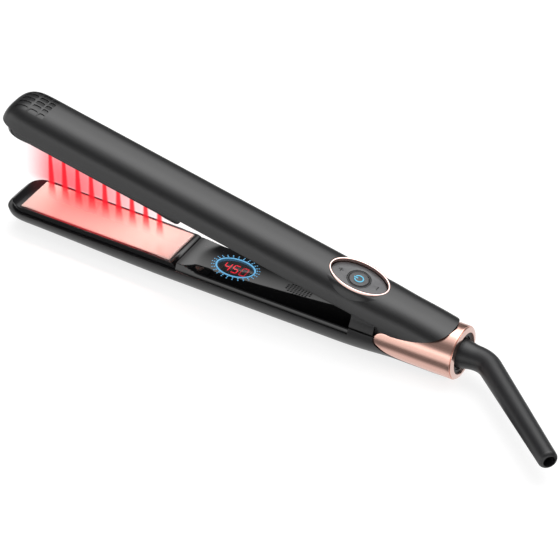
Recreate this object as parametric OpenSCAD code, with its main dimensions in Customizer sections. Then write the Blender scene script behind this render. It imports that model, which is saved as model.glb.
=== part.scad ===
// Hair straightener: two arms hinged in a metal collar, each with a heated plate that floats in a frame.
// Lengths are in millimetres. The arms are drawn closed, with x counted back from the front edge of the
// plates and z counted up from the plane where the plates meet. The upper arm is then swung open.

/* [Plates] */
// length of each heated plate
plate_length = 92.4; // [90:0.2:94]
// width of each heated plate
plate_width = 24.4; // [24:0.1:24.6]
// how far a plate sinks into its arm when hair is pressed
float_travel = 1; // [0.6:0.1:1.1]
// number of infrared lamps in the upper plate
lamp_count = 9; // [7:1:9]

/* [Arms] */
// half the width of an arm across the plates
arm_half_width = 15; // [14.9:0.1:15.4]
// height of the upper casing above the plates, at the front
upper_height = 18.1; // [17.6:0.1:18.8]
// height of the upper casing above the plates, at the control pod
pod_crown = 16.9; // [16.6:0.1:17.1]
// depth of the lower casing at its nose
nose_depth = 14.3; // [14:0.1:15.4]
// how far the lower casing's nose stands in front of the plates
lower_nose = 11.2; // [11:0.1:12]
// how far the upper casing's nose stands in front of the plates
upper_nose = 17.9; // [17:0.1:18.4]
// squareness of the casing's section, 2 is an ellipse
squareness = 2.8; // [2.6:0.1:3]
// wall of the casings
casing_wall = 1.8; // [1.6:0.1:2]
// length of the inner cover behind the plates
cover_length = 101.8; // [100:0.2:104]

/* [Hinge] */
// angle between the arms when they are open
open_angle = 11.1; // [10:0.1:11.5]
// radius of the hinge pin
pin_radius = 2; // [1.8:0.1:2.2]
// radial running clearance of the pin
pin_clearance = 0.06; // [0.04:0.01:0.1]
// height of the hinge axis below the plates' contact plane
hinge_drop = 3; // [2.8:0.1:3.2]

/* [Collar] */
// outer radius of the collar
collar_radius = 14.2; // [14:0.1:14.4]
// wall of the collar
collar_wall = 1.78; // [1.7:0.02:1.8]
// length by which the end ring stands out of the collar
end_ring_length = 1.3; // [1.1:0.1:1.5]
// radial width of the end ring's face
end_ring_width = 3.2; // [3.1:0.1:3.3]

/* [Control pod] */
// half length of the oval bezel
pod_half_length = 16.9; // [16.8:0.1:17.2]
// half width of the oval bezel
pod_half_width = 10.9; // [10.8:0.05:11]
// height of the bezel above the plates' contact plane
pod_top = 17; // [17:0.1:17.3]
// radius of the power button
power_radius = 5.4; // [5.2:0.1:5.6]
// travel of the power button
power_travel = 0.5; // [0.3:0.1:0.5]

/* [Display] */
// half length of the oval light ring
ring_half_length = 10.9; // [10.5:0.1:11.2]
// half width of the oval light ring
ring_half_width = 6.9; // [6.6:0.1:7.1]
// number of ticks round the light ring
tick_count = 26; // [18:2:26]
// number of vent slots behind the display
vent_count = 9; // [5:2:9]

/* [Cord boot] */
// length of the boot's straight run
boot_length = 73; // [60:1:90]
// radius of the boot's free end
boot_end_radius = 5; // [4.8:0.1:5.4]
// angle through which the boot bends
boot_bend = 40.5; // [20:0.5:50]
// radius of the hole for the cord
cord_radius = 3.1; // [2.6:0.1:3.4]

/* [Hidden] */
$fn = 64;
contact_z = hinge_drop + collar_radius;
mouth_radius = collar_radius - end_ring_width;
sleeve_radius = collar_radius - collar_wall - 0.12;
lower_depth = contact_z;
frame_drop = 1.3;
shoulder_drop = 0.75;
lower_rim = 4.4;
upper_rim = 4.9;
frame_half = 13.75;
frame_end = plate_length + 4.2;
cover_front = frame_end + 0.3;
cover_rear = cover_front + cover_length;
cover_edge = 14.1;
hinge_x = cover_rear + 24.3;
ear_x = hinge_x - 4.3;
ear_z = 0.8 - hinge_drop;
ear_radius = 5.2;
ring_front = hinge_x + 29.6;
collar_end = hinge_x + 33.2;
ring_end = collar_end + end_ring_length;
mid_x = hinge_x - 98.6;
hood_front = cover_rear + 1;
rail_inner = 7.2;
rail_outer = 8.6;
plate_skin = 2.2;
rail_drop = 6;
pocket_floor = 8.4;
lamp_pitch = 8.55;
lamp_front = 8.7;
display_x = cover_front + 28;
vent_x = cover_front + 65.8;
pod_x = cover_rear - 5.5;
board_z = 10.6;
rocker_top = pod_top - 2.2;
cup_front = collar_end - 8.6;
crown_radius = 85;
crown_z = 1;
screw_spots = [[24, 4.6], [plate_length - 22.4, -4.6]];
boot_bend_radius = 15;
boot_root = 8.7;

// curves and outlines

function unit(t) = max(0, min(1, t));
function ease(x, a, b) = let (t = unit((x - a) / (b - a))) t * t * (3 - 2 * t);
function power(v, e) = sign(v) * pow(abs(v), e);
function round_nose(x, tip, reach, e) = pow(1 - pow(1 - unit((x - tip) / reach), e), 1 / e);
function bezier(p, t) =
    pow(1 - t, 3) * p[0] + 3 * t * pow(1 - t, 2) * p[1] + 3 * t * t * (1 - t) * p[2] + pow(t, 3) * p[3];

// half width, depth and centre line of the casings at x, with an inset from the outer face
function nose(low) = low ? -lower_nose : -upper_nose;
function half_width(x, inset, low) =
    (arm_half_width - inset) * round_nose(x, nose(low) + inset, low ? 16.2 : 25.8, low ? 3.8 : 3.5)
    - (arm_half_width - collar_radius) * ease(x, hinge_x - 17, hinge_x + 3);
function lower_reach(x, inset) =
    (nose_depth + (lower_depth + 0.2 - nose_depth) * ease(x, -10, plate_length) - inset)
    * round_nose(x, inset - lower_nose, 15.4, 3.4);
function upper_reach(x, inset) =
    (upper_height - (upper_height - pod_crown) * unit(x / pod_x) - 0.8 * ease(x, hinge_x + 10, ring_front + 2)
    - inset)
    * round_nose(x, inset - upper_nose, 15.7, 2.3);
function low_centre(x) = 0.4 + (hinge_drop - 0.4) * ease(x, cover_rear - 8, hinge_x);
function section_power(x, low) =
    low ? squareness - (squareness - 2) * ease(x, cover_rear - 8, hinge_x) : squareness;

// one ring of points round the casing at x
function casing_ring(x, inset, low, steps) =
    let (
        a = half_width(x, inset, low),
        c = (low ? low_centre(x) : 0.3) * round_nose(x, nose(low) + inset, 15, 3),
        b = low ? lower_reach(x, inset) : upper_reach(x, inset),
        e = 2 / section_power(x, low),
        s = low ? -1 : 1
    )
    concat(
        [[x, a, 0]],
        [for (k = [0:steps])
            [x, a * power(cos(180 * k / steps), e), s * (c + (b - c) * power(sin(180 * k / steps), e))]],
        [[x, -a, 0]]
    );

// a closed body through rings of equal length, set out from the nose backwards
module skin_over(rings, flip) {
    n = len(rings[0]);
    last = len(rings) - 1;
    sides = [
        for (i = [0:last - 1], j = [0:n - 1])
            let (a = i * n + j, b = i * n + (j + 1) % n, c = a + n, d = b + n)
            each [[a, b, d], [a, d, c]]
    ];
    front = [for (j = [1:n - 2]) [0, j + 1, j]];
    rear = [for (j = [1:n - 2]) [last * n, last * n + j, last * n + j + 1]];
    all_faces = concat(sides, front, rear);
    polyhedron(
        points = [for (r = rings) each r],
        faces = flip ? [for (f = all_faces) [f[2], f[1], f[0]]] : all_faces
    );
}

// stations from the nose to the rear end
function nose_stations(inset, low, n) =
    [for (i = [1:n]) nose(low) + inset + (low ? 16.2 : 25.8) * (1 - cos(90 * (i - 0.5) / (n - 0.5)))];
function body_stations(inset, low, rear) =
    let (a = nose(low) + inset + (low ? 16.2 : 25.8), b = cover_rear - 12)
    concat([for (i = [1:8]) a + (b - a) * i / 8], [for (i = [1:8]) b + (rear - b) * i / 8]);

module casing_body(inset, low, rear, steps, nose_steps) {
    stations = concat(nose_stations(inset, low, nose_steps), body_stations(inset, low, rear));
    skin_over([for (x = stations) casing_ring(x, inset, low, steps)], !low);
}

// extrudes an x-z outline across the whole width, or across a given one
module across(points, half = 30) {
    rotate([90, 0, 0])
        translate([0, 0, -half])
            linear_extrude(2 * half)
                polygon(points);
}

// outline seen from above: a rounded nose, straight sides and a square rear
function plan_outline(tip, reach, half, rear, e) =
    let (
        n = 12,
        xs = [for (i = [0:n]) tip + reach * (1 - cos(90 * (i + 0.35) / (n + 0.35)))],
        side = [for (x = xs) [x, half * round_nose(x, tip, reach, e)]]
    )
    concat(side, [[rear, half], [rear, -half]], [for (i = [n:-1:0]) [side[i][0], -side[i][1]]]);

module oval(a, b, bottom, top) {
    translate([0, 0, bottom])
        linear_extrude(top - bottom)
            scale([1, b / a])
                circle(r = a);
}

module oval_ring(a, b, wall, bottom, top) {
    difference() {
        oval(a, b, bottom, top);
        oval(a - wall, b - wall, bottom - 1, top + 1);
    }
}

// a round bar or hole along x
module along_x(r, from, to, r2 = -1) {
    translate([from, 0, -hinge_drop])
        rotate([0, 90, 0])
            cylinder(h = to - from, r1 = r, r2 = r2 < 0 ? r : r2);
}

// placing of the two arms

module lower_place() {
    translate([-mid_x, 0, contact_z])
        children();
}

// swings about the hinge axis by an angle, the arms being drawn closed
module swing(angle) {
    translate([hinge_x, 0, -hinge_drop])
        rotate([0, angle, 0])
            translate([-hinge_x, 0, hinge_drop])
                children();
}

module upper_place() {
    lower_place()
        swing(open_angle)
            children();
}

module flipped() {
    mirror([0, 0, 1])
        children();
}

// outline of the collar from the side: ears with round ends that sweep into a full ring
function collar_outline(g) =
    let (
        upper = [
            [ear_x, ear_z + ear_radius + g], [hinge_x + 9, ear_z + ear_radius + g], [hinge_x + 20, 5.5 + g],
            [ring_front - g, collar_radius - hinge_drop + 0.1]
        ],
        lower = [
            [hinge_x + 21, 3.6 - contact_z - g], [hinge_x + 7, 4.6 - contact_z - g],
            [hinge_x - 3, 6 - contact_z - g],
            [ear_x - (ear_radius + g) * sin(29), ear_z - (ear_radius + g) * cos(29)]
        ]
    )
    concat(
        [for (i = [0:14]) bezier(upper, i / 14)],
        [[ring_front - g, 24], [ring_end + 6, 24], [ring_end + 6, -24], [ring_front - g, -24]],
        [[ring_front - g, 2.2 - contact_z]],
        [for (i = [0:14]) bezier(lower, i / 14)],
        [for (i = [1:12]) let (t = 29 + 151 * i / 13)
            [ear_x - (ear_radius + g) * sin(t), ear_z - (ear_radius + g) * cos(t)]]
    );

// lower arm

module lower_shell() color("#2f2f31") lower_place() {
    difference() {
        union() {
            difference() {
                casing_body(0, true, collar_end - 4, 26, 9);
                casing_body(casing_wall, true, collar_end, 16, 7);
            }
            intersection() {
                casing_body(casing_wall / 2, true, collar_end - 4, 16, 7);
                union() {
                    for (s = screw_spots)
                        translate([s[0], s[1], -lower_depth])
                            cylinder(h = lower_depth - pocket_floor - 1.7, r = 3.2);
                    for (x = [cover_front + 12, cover_rear - 14], y = [-8, 8])
                        translate([x, y, -lower_depth])
                            cylinder(h = lower_depth - 7.3, r = 2);
                }
            }
        }
        // rim of the trough, which rises to the parting line beside the hinge
        across([[-30, 5], [-30, -lower_rim], [cover_rear + 0.3, -lower_rim], [cover_rear + 0.7, -0.8],
            [cover_rear + 1.1, -0.4], [ring_end + 5, -0.4], [ring_end + 5, 5]]);
        // table flat
        translate([-50, -30, -lower_depth - 20])
            cube([400, 60, 20]);
        across(collar_outline(0.12));
        for (s = screw_spots)
            translate([s[0], s[1], -pocket_floor - 1.7 - 5])
                cylinder(h = 6, r = 1.2);
    }
}

// frame round a plate, drawn for the lower arm, given the casing's nose, the frame's own nose and the rim
module plate_frame(casing_tip, tip, rim) {
    difference() {
        union() {
            // wall that stands out of the casing, rounded at the nose and behind the plate
            intersection() {
                translate([0, 0, -rim])
                    linear_extrude(rim)
                        polygon(plan_outline(tip, 11.8, frame_half, frame_end, 2.4));
                across([
                    [tip - 1, -rim - 1],
                    each [for (i = [0:6]) [tip + 4 * (1 - cos(15 * i)), -3.6 + 2.5 * sin(15 * i)]],
                    [-3, -0.8], [-0.5, -0.8], [4, -frame_drop], [plate_length - 9, -frame_drop],
                    [plate_length - 4.5, -shoulder_drop], [plate_length + 1.2, -shoulder_drop],
                    each [for (i = [1:6])
                        [plate_length + 1.2 + 3 * sin(15 * i), -shoulder_drop - 2.6 * (1 - cos(15 * i))]],
                    [frame_end, -rim - 1]
                ]);
            }
            // flange that closes the mouth of the casing
            translate([0, 0, -rim - 1])
                linear_extrude(1)
                    polygon(plan_outline(casing_tip + casing_wall + 1.5, 20, 12.55, frame_end, 3.2));
            // tub under the plate
            intersection() {
                translate([-2, -13, -pocket_floor - 1.6])
                    cube([frame_end + 1.7, 26, pocket_floor + 1.6 - rim]);
                rotate([90, 0, 90])
                    translate([0, 0, -10])
                        linear_extrude(130)
                            polygon([[-12.4, -rim], [-12.2, -5.6], [-11.2, -8], [-9.5, -10], [9.5, -10],
                                [11.2, -8], [12.2, -5.6], [12.4, -rim]]);
                across([[-2, -rim + 1], [-2, -8], [0, -10.1], [frame_end, -10.1], [frame_end, -rim + 1]]);
            }
        }
        // opening of the plate
        translate([-0.25, -plate_width / 2 - 0.25, -3.7])
            cube([plate_length + 0.5, plate_width + 0.5, 5]);
        // channel of the rails
        translate([3, -rail_outer - 0.5, -pocket_floor])
            cube([plate_length - 6, 2 * rail_outer + 1, 8]);
        for (s = screw_spots)
            translate([s[0], s[1], -12])
                cylinder(h = 6, r = 1.5);
    }
}

module lower_frame() color("#1c1c1e") lower_place() plate_frame(-lower_nose, 1.4 - lower_nose, lower_rim);

// ceramic-coated plate with two rails below, drawn for the lower arm
module plate_body() {
    bevel = 0.5;
    w = plate_width / 2;
    intersection() {
        translate([0, 0, -plate_skin])
            linear_extrude(plate_skin)
                translate([0, -w])
                    square([plate_length, plate_width]);
        across([[0, -3], [0, -bevel], [bevel, 0], [plate_length - bevel, 0], [plate_length, -bevel],
            [plate_length, -3]]);
        rotate([90, 0, 90])
            linear_extrude(plate_length)
                polygon([[-w, -3], [-w, -bevel], [bevel - w, 0], [w - bevel, 0], [w, -bevel], [w, -3]]);
    }
    for (s = [-1, 1])
        translate([6, s > 0 ? rail_inner : -rail_outer, -rail_drop])
            cube([plate_length - 12, rail_outer - rail_inner, rail_drop - plate_skin + 0.1]);
}

module lower_plate() color("#e9a08f") lower_place() plate_body();

module lower_heater() color("#efece4") lower_place() {
    translate([12, -6.9, -plate_skin - 2])
        cube([plate_length - 24, 13.8, 2]);
}

// silicone pads under the rails, drawn for the lower arm
module pads_body() {
    for (x = [10, plate_length - 18], s = [-1, 1])
        translate([x, s > 0 ? rail_inner : -rail_outer, -pocket_floor])
            cube([8, rail_outer - rail_inner, pocket_floor - rail_drop - 0.02]);
}

module lower_pads() color("#c8c4bc") lower_place() pads_body();

// pan-head screws that hold a frame to its casing, drawn for the lower arm
module screws_body() {
    for (s = screw_spots)
        translate([s[0], s[1], -pocket_floor])
            difference() {
                union() {
                    translate([0, 0, -6])
                        cylinder(h = 6, r = 1.15);
                    cylinder(h = 1.2, r1 = 2.4, r2 = 1.9);
                }
                for (a = [0, 90])
                    rotate([0, 0, a])
                        translate([-1.3, -0.25, 0.6])
                            cube([2.6, 0.5, 1]);
            }
}

module lower_screws() color("#9a9a9a") lower_place() screws_body();

// outline of the inner cover from above, with round rear corners
function cover_plan() =
    let (r = 4)
    concat(
        [[cover_front, cover_edge], [cover_front, -cover_edge]],
        [for (i = [0:6]) [cover_rear - r + r * sin(15 * i), r - cover_edge - r * cos(15 * i)]],
        [for (i = [0:6]) [cover_rear - r + r * cos(15 * i), cover_edge - r + r * sin(15 * i)]]
    );

// crowned face of the inner covers, and its outline from the side with the front end swept up
module crown(face, grow) {
    translate([cover_front - 1, 0, -face - crown_radius])
        rotate([0, 90, 0])
            cylinder(h = cover_length + 2, r = crown_radius + grow, $fn = 400);
}

// inner cover, drawn for the lower arm, given the height of its face and of the rim it rests on
module cover_body(face, rim) {
    top = face - 0.5;
    intersection() {
        translate([0, 0, -rim])
            linear_extrude(rim)
                polygon(cover_plan());
        union() {
            across(concat([[cover_front - 1, -rim - 1], [cover_front - 1, -top], [cover_front + 5, -top]],
                [for (i = [1:8]) [cover_front + 5 + 6 * i / 8, -top - 3 * ease(i, 0, 8)]],
                [[cover_front + 12, -rim - 1]]));
            crown(face, 0);
        }
        rotate([90, 0, 90])
            linear_extrude(300)
                polygon([[-cover_edge, -rim - 1], [-cover_edge, -rim + 0.5], [-12.6, -top], [12.6, -top],
                    [cover_edge, -rim + 0.5], [cover_edge, -rim - 1]]);
    }
}

module at_display() {
    translate([display_x, 0, 0])
        children();
}

// one dot of a tick, at a part of the way round and on the inner or outer row
module tick_dot(k, row, r, bottom, top) {
    angle = 360 * (k + 0.5) / tick_count;
    a = ring_half_length + 1.15 + 1.15 * row;
    b = ring_half_width + 1.15 + 1.05 * row;
    translate([a * cos(angle), b * sin(angle), bottom])
        cylinder(h = top - bottom, r = r, $fn = 16);
}

module display_panel() color("#0b0b0d") lower_place() {
    difference() {
        cover_body(crown_z, lower_rim);
        at_display() {
            oval(ring_half_length + 0.55, ring_half_width + 0.55, -2.9, 1);
            oval(ring_half_length - 0.9, ring_half_width - 0.9, -lower_rim - 1, -2.7);
            for (k = [0:tick_count - 1], row = [0, 1])
                tick_dot(k, row, 0.38 - 0.06 * row, -crown_z - 0.9, 1);
        }
        // slots that grow and shrink along the row
        for (i = [0:vent_count - 1]) {
            long = 1.2 + 2.8 * sin(180 * (i + 0.5) / vent_count);
            translate([vent_x + 1.7 * (i - (vent_count - 1) / 2) - 0.4, -long / 2, -lower_rim - 1])
                cube([0.8, long, 5]);
        }
        // hollow under the cover
        translate([cover_front + 44, -10.5, -lower_rim - 1])
            cube([cover_length - 52, 21, 2.4]);
    }
}

module display_lens() color("#16171b") lower_place() intersection() {
    crown(crown_z, 0.02);
    at_display()
        oval(ring_half_length - 0.5, ring_half_width - 0.5, -2.2, 1);
}

module ring_light() color("#6ab6e6") lower_place() intersection() {
    crown(crown_z, 0.04);
    at_display()
        oval_ring(ring_half_length + 0.5, ring_half_width + 0.5, 0.95, -2.85, 1);
}

module tick_lights() color("#6ab6e6") lower_place() intersection() {
    crown(crown_z, 0.05);
    at_display()
        for (k = [0:tick_count - 1], row = [0, 1])
            tick_dot(k, row, 0.36 - 0.06 * row, -crown_z - 0.88, 1);
}

// one bar of a digit, lying along x or y
module segment(x, y, lying) {
    long = 2.5;
    wide = 0.5;
    translate([x - (lying ? long : wide) / 2, y - (lying ? wide : long) / 2, 0])
        cube([lying ? long : wide, lying ? wide : long, 0.3]);
}

// bars of a digit in the order top, middle, bottom, then the four uprights
module digit(lit) {
    if (lit[0]) segment(0, 3, true);
    if (lit[1]) segment(0, 0, true);
    if (lit[2]) segment(0, -3, true);
    if (lit[3]) segment(-1.55, 1.5, false);
    if (lit[4]) segment(1.55, 1.5, false);
    if (lit[5]) segment(-1.55, -1.5, false);
    if (lit[6]) segment(1.55, -1.5, false);
}

module display_digits() color("#d02030") lower_place() at_display()
    translate([0, 0, -2.5]) {
        translate([-4.9, 0, 0]) digit([0, 1, 0, 1, 1, 0, 1]);
        digit([1, 1, 1, 1, 0, 0, 1]);
        translate([4.9, 0, 0]) digit([1, 0, 1, 1, 1, 1, 1]);
    }

module display_board() color("#1f5a3a") lower_place() {
    difference() {
        translate([cover_front + 6, -10.4, -7.25])
            cube([cover_length - 14, 20.8, 1.2]);
        translate([vent_x, 0, -8])
            cylinder(h = 3, r = 4);
    }
    at_display()
        oval(ring_half_length - 1.1, ring_half_width - 1.1, -6.1, -2.55);
    translate([vent_x + 16, -4, -6.1])
        cube([9, 8, 1.6]);
    translate([vent_x + 10, 5, -6.1])
        cylinder(h = 1.8, r = 2.4);
}

// hood behind the display panel, which the upper casing closes over
module hinge_hood() color("#2b2b2d") lower_place() {
    w = arm_half_width;
    side = [[w - 2.7, -5], [w - 2.5, 0.5], [w - 0.3, 0.5], [w - 0.45, 1.3], [w - 2.2, 4.1], [w - 2.7, 5],
        [w - 3, 7], [w - 3.7, 9.1]];
    rear = [[w - 3, -5], [w - 3, 5], [w - 3.7, 9.1]];
    hollow = [[w - 4.3, -8], [w - 4.3, 5], [w - 4.8, 12]];
    difference() {
        intersection() {
            rotate([90, 0, 90]) {
                translate([0, 0, hood_front])
                    linear_extrude(hinge_x - 9.8 - hood_front)
                        polygon(concat(side, [for (i = [7:-1:0]) [-side[i][0], side[i][1]]]));
                translate([0, 0, hinge_x - 12])
                    linear_extrude(8)
                        polygon(concat(rear, [for (i = [2:-1:0]) [-rear[i][0], rear[i][1]]]));
            }
            across([[hood_front, -6], [hood_front, 8.6], [hood_front + 0.6, 9.1], [hinge_x - 11, 7.8],
                [hinge_x - 4, 6], [hinge_x - 4, -6]]);
        }
        rotate([90, 0, 90])
            translate([0, 0, hood_front + 1.6])
                linear_extrude(30)
                    polygon(concat(hollow, [for (i = [2:-1:0]) [-hollow[i][0], hollow[i][1]]]));
        // way for the upper arm
        translate([hood_front - 1, -6.9, 2.8])
            cube([10, 13.8, 12]);
        difference() {
            across(collar_outline(0.15));
            along_x(sleeve_radius, 150, 300);
        }
        // room for the sleeve of the bracket
        translate([hinge_x - 10, -20, -20])
            cube([30, 40, 16.5]);
    }
}

// inner half-sleeve of the tail with the two cheeks that carry the pin
module hinge_bracket() color("#202022") lower_place() {
    inner = sleeve_radius;
    difference() {
        union() {
            intersection() {
                difference() {
                    along_x(inner, hinge_x - 9.8, cup_front - 0.1);
                    along_x(inner - 1.7, hinge_x - 12, cup_front + 1);
                }
                translate([hinge_x - 20, -20, -40])
                    cube([60, 40, 36.4]);
            }
            intersection() {
                along_x(inner - 0.5, hinge_x - 9.8, hinge_x + 7);
                for (s = [-1, 1])
                    across([[hinge_x - 7, -18],
                        each [for (i = [0:12]) [hinge_x - 5 * cos(15 * i), -hinge_drop + 5 * sin(15 * i)]],
                        [hinge_x + 6.9, -18]]);
            }
        }
        translate([hinge_x - 15, -6.6, -22])
            cube([30, 13.2, 40]);
        for (s = [-1, 1])
            translate([hinge_x - 15, s > 0 ? 8.7 : -8.7 - 10, -hinge_drop - 5.5])
                cube([30, 10, 30]);
        translate([hinge_x, 0, -hinge_drop])
            rotate([90, 0, 0])
                cylinder(h = 40, r = pin_radius, center = true);
    }
    // floor that joins the cheeks
    intersection() {
        along_x(inner - 0.5, hinge_x - 9.8, hinge_x + 12);
        translate([hinge_x - 9.8, -20, -hinge_drop - inner - 0.7])
            cube([21.8, 40, 3.4]);
    }
    // seat of the spring, with a pilot that fills its first coils
    translate([spring_x - 5, -5, spring_foot - 1.4])
        cube([13, 10, 1.35]);
    translate([spring_x, 0, spring_foot - 0.3])
        cylinder(h = 2, r = 2.6);
}

module hinge_pin() color("#b8b8ba") lower_place() {
    translate([hinge_x, 8.6, -hinge_drop])
        rotate([90, 0, 0])
            cylinder(h = 17.2, r = pin_radius);
}

// opening spring, one unbroken tube wound between a seat in the lower arm and the underside of the upper arm
spring_x = hinge_x - 15;
spring_radius = 3.4;
wire_radius = 0.45;
spring_turns = 6;
spring_foot = 2.1 - hinge_drop - sleeve_radius;
spring_head = 5.2;
spring_rings = 8 * spring_turns;
function spring_point(u, w) =
    let (
        a = 360 * spring_turns * u,
        z = spring_foot + wire_radius + (spring_head - spring_foot - 2 * wire_radius) * u,
        r = spring_radius + wire_radius * cos(w)
    )
    [spring_x + r * cos(a), r * sin(a), z + wire_radius * sin(w)];
spring_gap = (spring_head - spring_foot - 2 * wire_radius) / spring_turns - 2 * wire_radius;
echo(spring_least_gap_to_itself = spring_gap);

module arm_spring() color("#a8a8aa") lower_place() {
    rings = [for (i = [0:spring_rings]) [for (k = [0:5]) spring_point(i / spring_rings, 60 * k)]];
    skin_over(rings, true);
}

module collar() color("#e3aa9c") lower_place() {
    intersection() {
        difference() {
            along_x(collar_radius, hinge_x - 12, collar_end);
            along_x(collar_radius - collar_wall, hinge_x - 13, collar_end + 1);
        }
        across(collar_outline(0));
        union() {
            along_x(collar_radius + 1, hinge_x - 12, collar_end - 0.4);
            along_x(collar_radius, collar_end - 0.4, collar_end, collar_radius - 0.4);
        }
    }
}

// bezel that closes the collar, with a spigot inside it and a rounded lip
module end_ring() color("#e3aa9c") lower_place() {
    lip = collar_radius - 0.5;
    l = end_ring_length;
    translate([collar_end, 0, -hinge_drop])
        rotate([0, 90, 0])
            rotate_extrude()
                polygon(concat(
                    [[mouth_radius, -3], [collar_radius - collar_wall - 0.02, -3],
                        [collar_radius - collar_wall - 0.02, 0.15], [lip - 0.2, 0.15], [lip, 0.35]],
                    [for (i = [0:5]) [lip - 0.9 + 0.9 * cos(18 * i), l - 0.9 + 0.9 * sin(18 * i)]],
                    [[mouth_radius + 0.5, l], [mouth_radius, l - 0.5]]
                ));
}

// fixed cup in which the cord swivel turns
module swivel_cup() color("#151516") lower_place() {
    inner = collar_radius - collar_wall;
    difference() {
        union() {
            along_x(inner - 0.02, cup_front, collar_end - 3);
            along_x(mouth_radius - 0.02, collar_end - 4, ring_end - 1.2);
        }
        along_x(mouth_radius - 1.1, cup_front + 2, ring_end - 2.6);
        along_x(mouth_radius - 2, cup_front + 3, ring_end);
        along_x(5, cup_front - 1, cup_front + 4);
    }
}

// cord swivel

module swivel_disc() color("#1b1b1c") lower_place() {
    difference() {
        union() {
            along_x(mouth_radius - 1.2, cup_front + 2.1, ring_end - 2.7);
            along_x(mouth_radius - 2.1, ring_end - 2.8, ring_end - 1.8);
        }
        along_x(4.6, cup_front, ring_end);
    }
}

// stations of the boot from its root: centre x and y, heading and radius
function boot_stations() =
    let (
        x = ring_end - 1.8 + boot_root,
        r = boot_bend_radius,
        e = 2.4,
        ex = x + r * sin(boot_bend),
        ey = r * cos(boot_bend) - r
    )
    concat(
        [[x - boot_root, 0, 0, 8.1], [x - boot_root + 0.8, 0, 0, 8.1], [x - boot_root / 2, 0, 0, 7.1]],
        [for (i = [0:7]) let (t = boot_bend * i / 7)
            [x + r * sin(t), r * cos(t) - r, t, 6.4 - 0.04 * i]],
        [for (i = [1:5])
            boot_run(ex, ey, (boot_length - e) * i / 5, 6.12 - (6.12 - boot_end_radius) * i / 5)],
        [for (i = [1:6])
            boot_run(ex, ey, boot_length - e + e * sin(15 * i), boot_end_radius - e + e * cos(15 * i))]
    );
function boot_run(x, y, along, r) = [x + along * cos(boot_bend), y - along * sin(boot_bend), boot_bend, r];

module cord_boot() color("#161617") lower_place() {
    rings = [for (p = boot_stations()) [for (k = [0:35]) [
        p[0] + p[3] * cos(10 * k) * sin(p[2]),
        p[1] + p[3] * cos(10 * k) * cos(p[2]),
        -hinge_drop + p[3] * sin(10 * k)
    ]]];
    along_x(4.5, cup_front + 3, ring_end - 1);
    difference() {
        skin_over(rings, true);
        // hole for the cord
        translate([ring_end - 1.8 + boot_root, -boot_bend_radius, -hinge_drop])
            rotate([0, 0, -boot_bend])
                translate([boot_length - 30, boot_bend_radius, 0])
                    rotate([0, 90, 0])
                        cylinder(h = 40, r = cord_radius);
    }
}

// upper arm

module at_pod() {
    translate([pod_x, 0, 0])
        children();
}

// scales of the finger grip: half width, and where each of the three columns starts and ends
grip_half = 1.3;
grip_pitch = 3.5;
grip_columns = [[-10.8, -3.5], [-2.5, 2.5], [3.3, 6.8]];

module grip_scales() {
    intersection() {
        skin_over([for (x = concat(nose_stations(-0.4, false, 9), [12]))
            casing_ring(x, -0.4, false, 26)], true);
        for (row = [-2:2], c = grip_columns)
            translate([c[0], grip_pitch * row, upper_height - 7])
                linear_extrude(9)
                    polygon(concat(
                        [for (i = [0:6]) [1.3 - 1.3 * sin(15 * i), -grip_half * cos(15 * i)]],
                        [for (i = [1:6]) [1.3 - 1.3 * cos(15 * i), grip_half * sin(15 * i)]],
                        [[c[1] - c[0], grip_half - 0.3], [c[1] - c[0], 0.3 - grip_half]]
                    ));
    }
}

module upper_shell() color("#2f2f31") upper_place() {
    difference() {
        union() {
            difference() {
                casing_body(0, false, ring_front + 1, 26, 9);
                casing_body(casing_wall, false, ring_front + 4, 16, 7);
            }
            difference() {
                grip_scales();
                casing_body(casing_wall / 2, false, 30, 16, 7);
            }
            // boss of the control pod
            at_pod()
                oval(pod_half_length, pod_half_width - 0.05, pod_top - 6.2, pod_top - 1.1);
            intersection() {
                casing_body(casing_wall / 2, false, ring_front, 16, 7);
                for (s = screw_spots)
                    translate([s[0], s[1], pocket_floor + 1.7])
                        cylinder(h = upper_height, r = 3.2);
            }
        }
        across([[-30, -5], [-30, upper_rim], [hinge_x - 9, upper_rim], [hinge_x - 7, 2],
            [ring_end + 5, 2], [ring_end + 5, -5]]);
        for (part = [0, 0.5, 1])
            swing(-open_angle * part)
                across(collar_outline(0.4));
        at_pod() {
            oval(pod_half_length + 0.03, pod_half_width + 0.03, pod_top - 1.08, pod_top + 4);
            oval(pod_half_length - 0.55, pod_half_width - 0.55, pod_top - 5.75, pod_top + 4);
            oval(pod_half_length - 1.6, pod_half_width - 1.6, pod_top - 9, pod_top);
        }
        for (s = screw_spots)
            translate([s[0], s[1], pocket_floor + 0.7])
                cylinder(h = 6, r = 1.2);
    }
}

module upper_frame() color("#1c1c1e") upper_place() flipped()
    plate_frame(-upper_nose, 3.3 - upper_nose, upper_rim);

module upper_plate() color("#e9a08f") upper_place() flipped() {
    difference() {
        plate_body();
        for (i = [0:lamp_count - 1])
            translate([lamp_front + lamp_pitch * i, 0, -5])
                cylinder(h = 10, r = 1.9);
    }
}

module upper_heater() color("#efece4") upper_place() flipped() {
    for (s = [-1, 1])
        translate([12, s > 0 ? 2.6 : -6.9, -plate_skin - 2])
            cube([plate_length - 24, 4.3, 2]);
}

module upper_pads() color("#c8c4bc") upper_place() flipped() pads_body();

module upper_screws() color("#9a9a9a") upper_place() flipped() screws_body();

module infrared_leds() color("#e02028") upper_place() {
    for (i = [0:lamp_count - 1])
        translate([lamp_front + lamp_pitch * i, 0, 0]) {
            translate([0, 0, 2.9])
                cylinder(h = 4.4, r = 1.5, $fn = 32);
            intersection() {
                translate([0, 0, 2.9])
                    sphere(r = 1.5, $fn = 32);
                translate([-2, -2, 0])
                    cube([4, 4, 3]);
            }
        }
}

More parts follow.
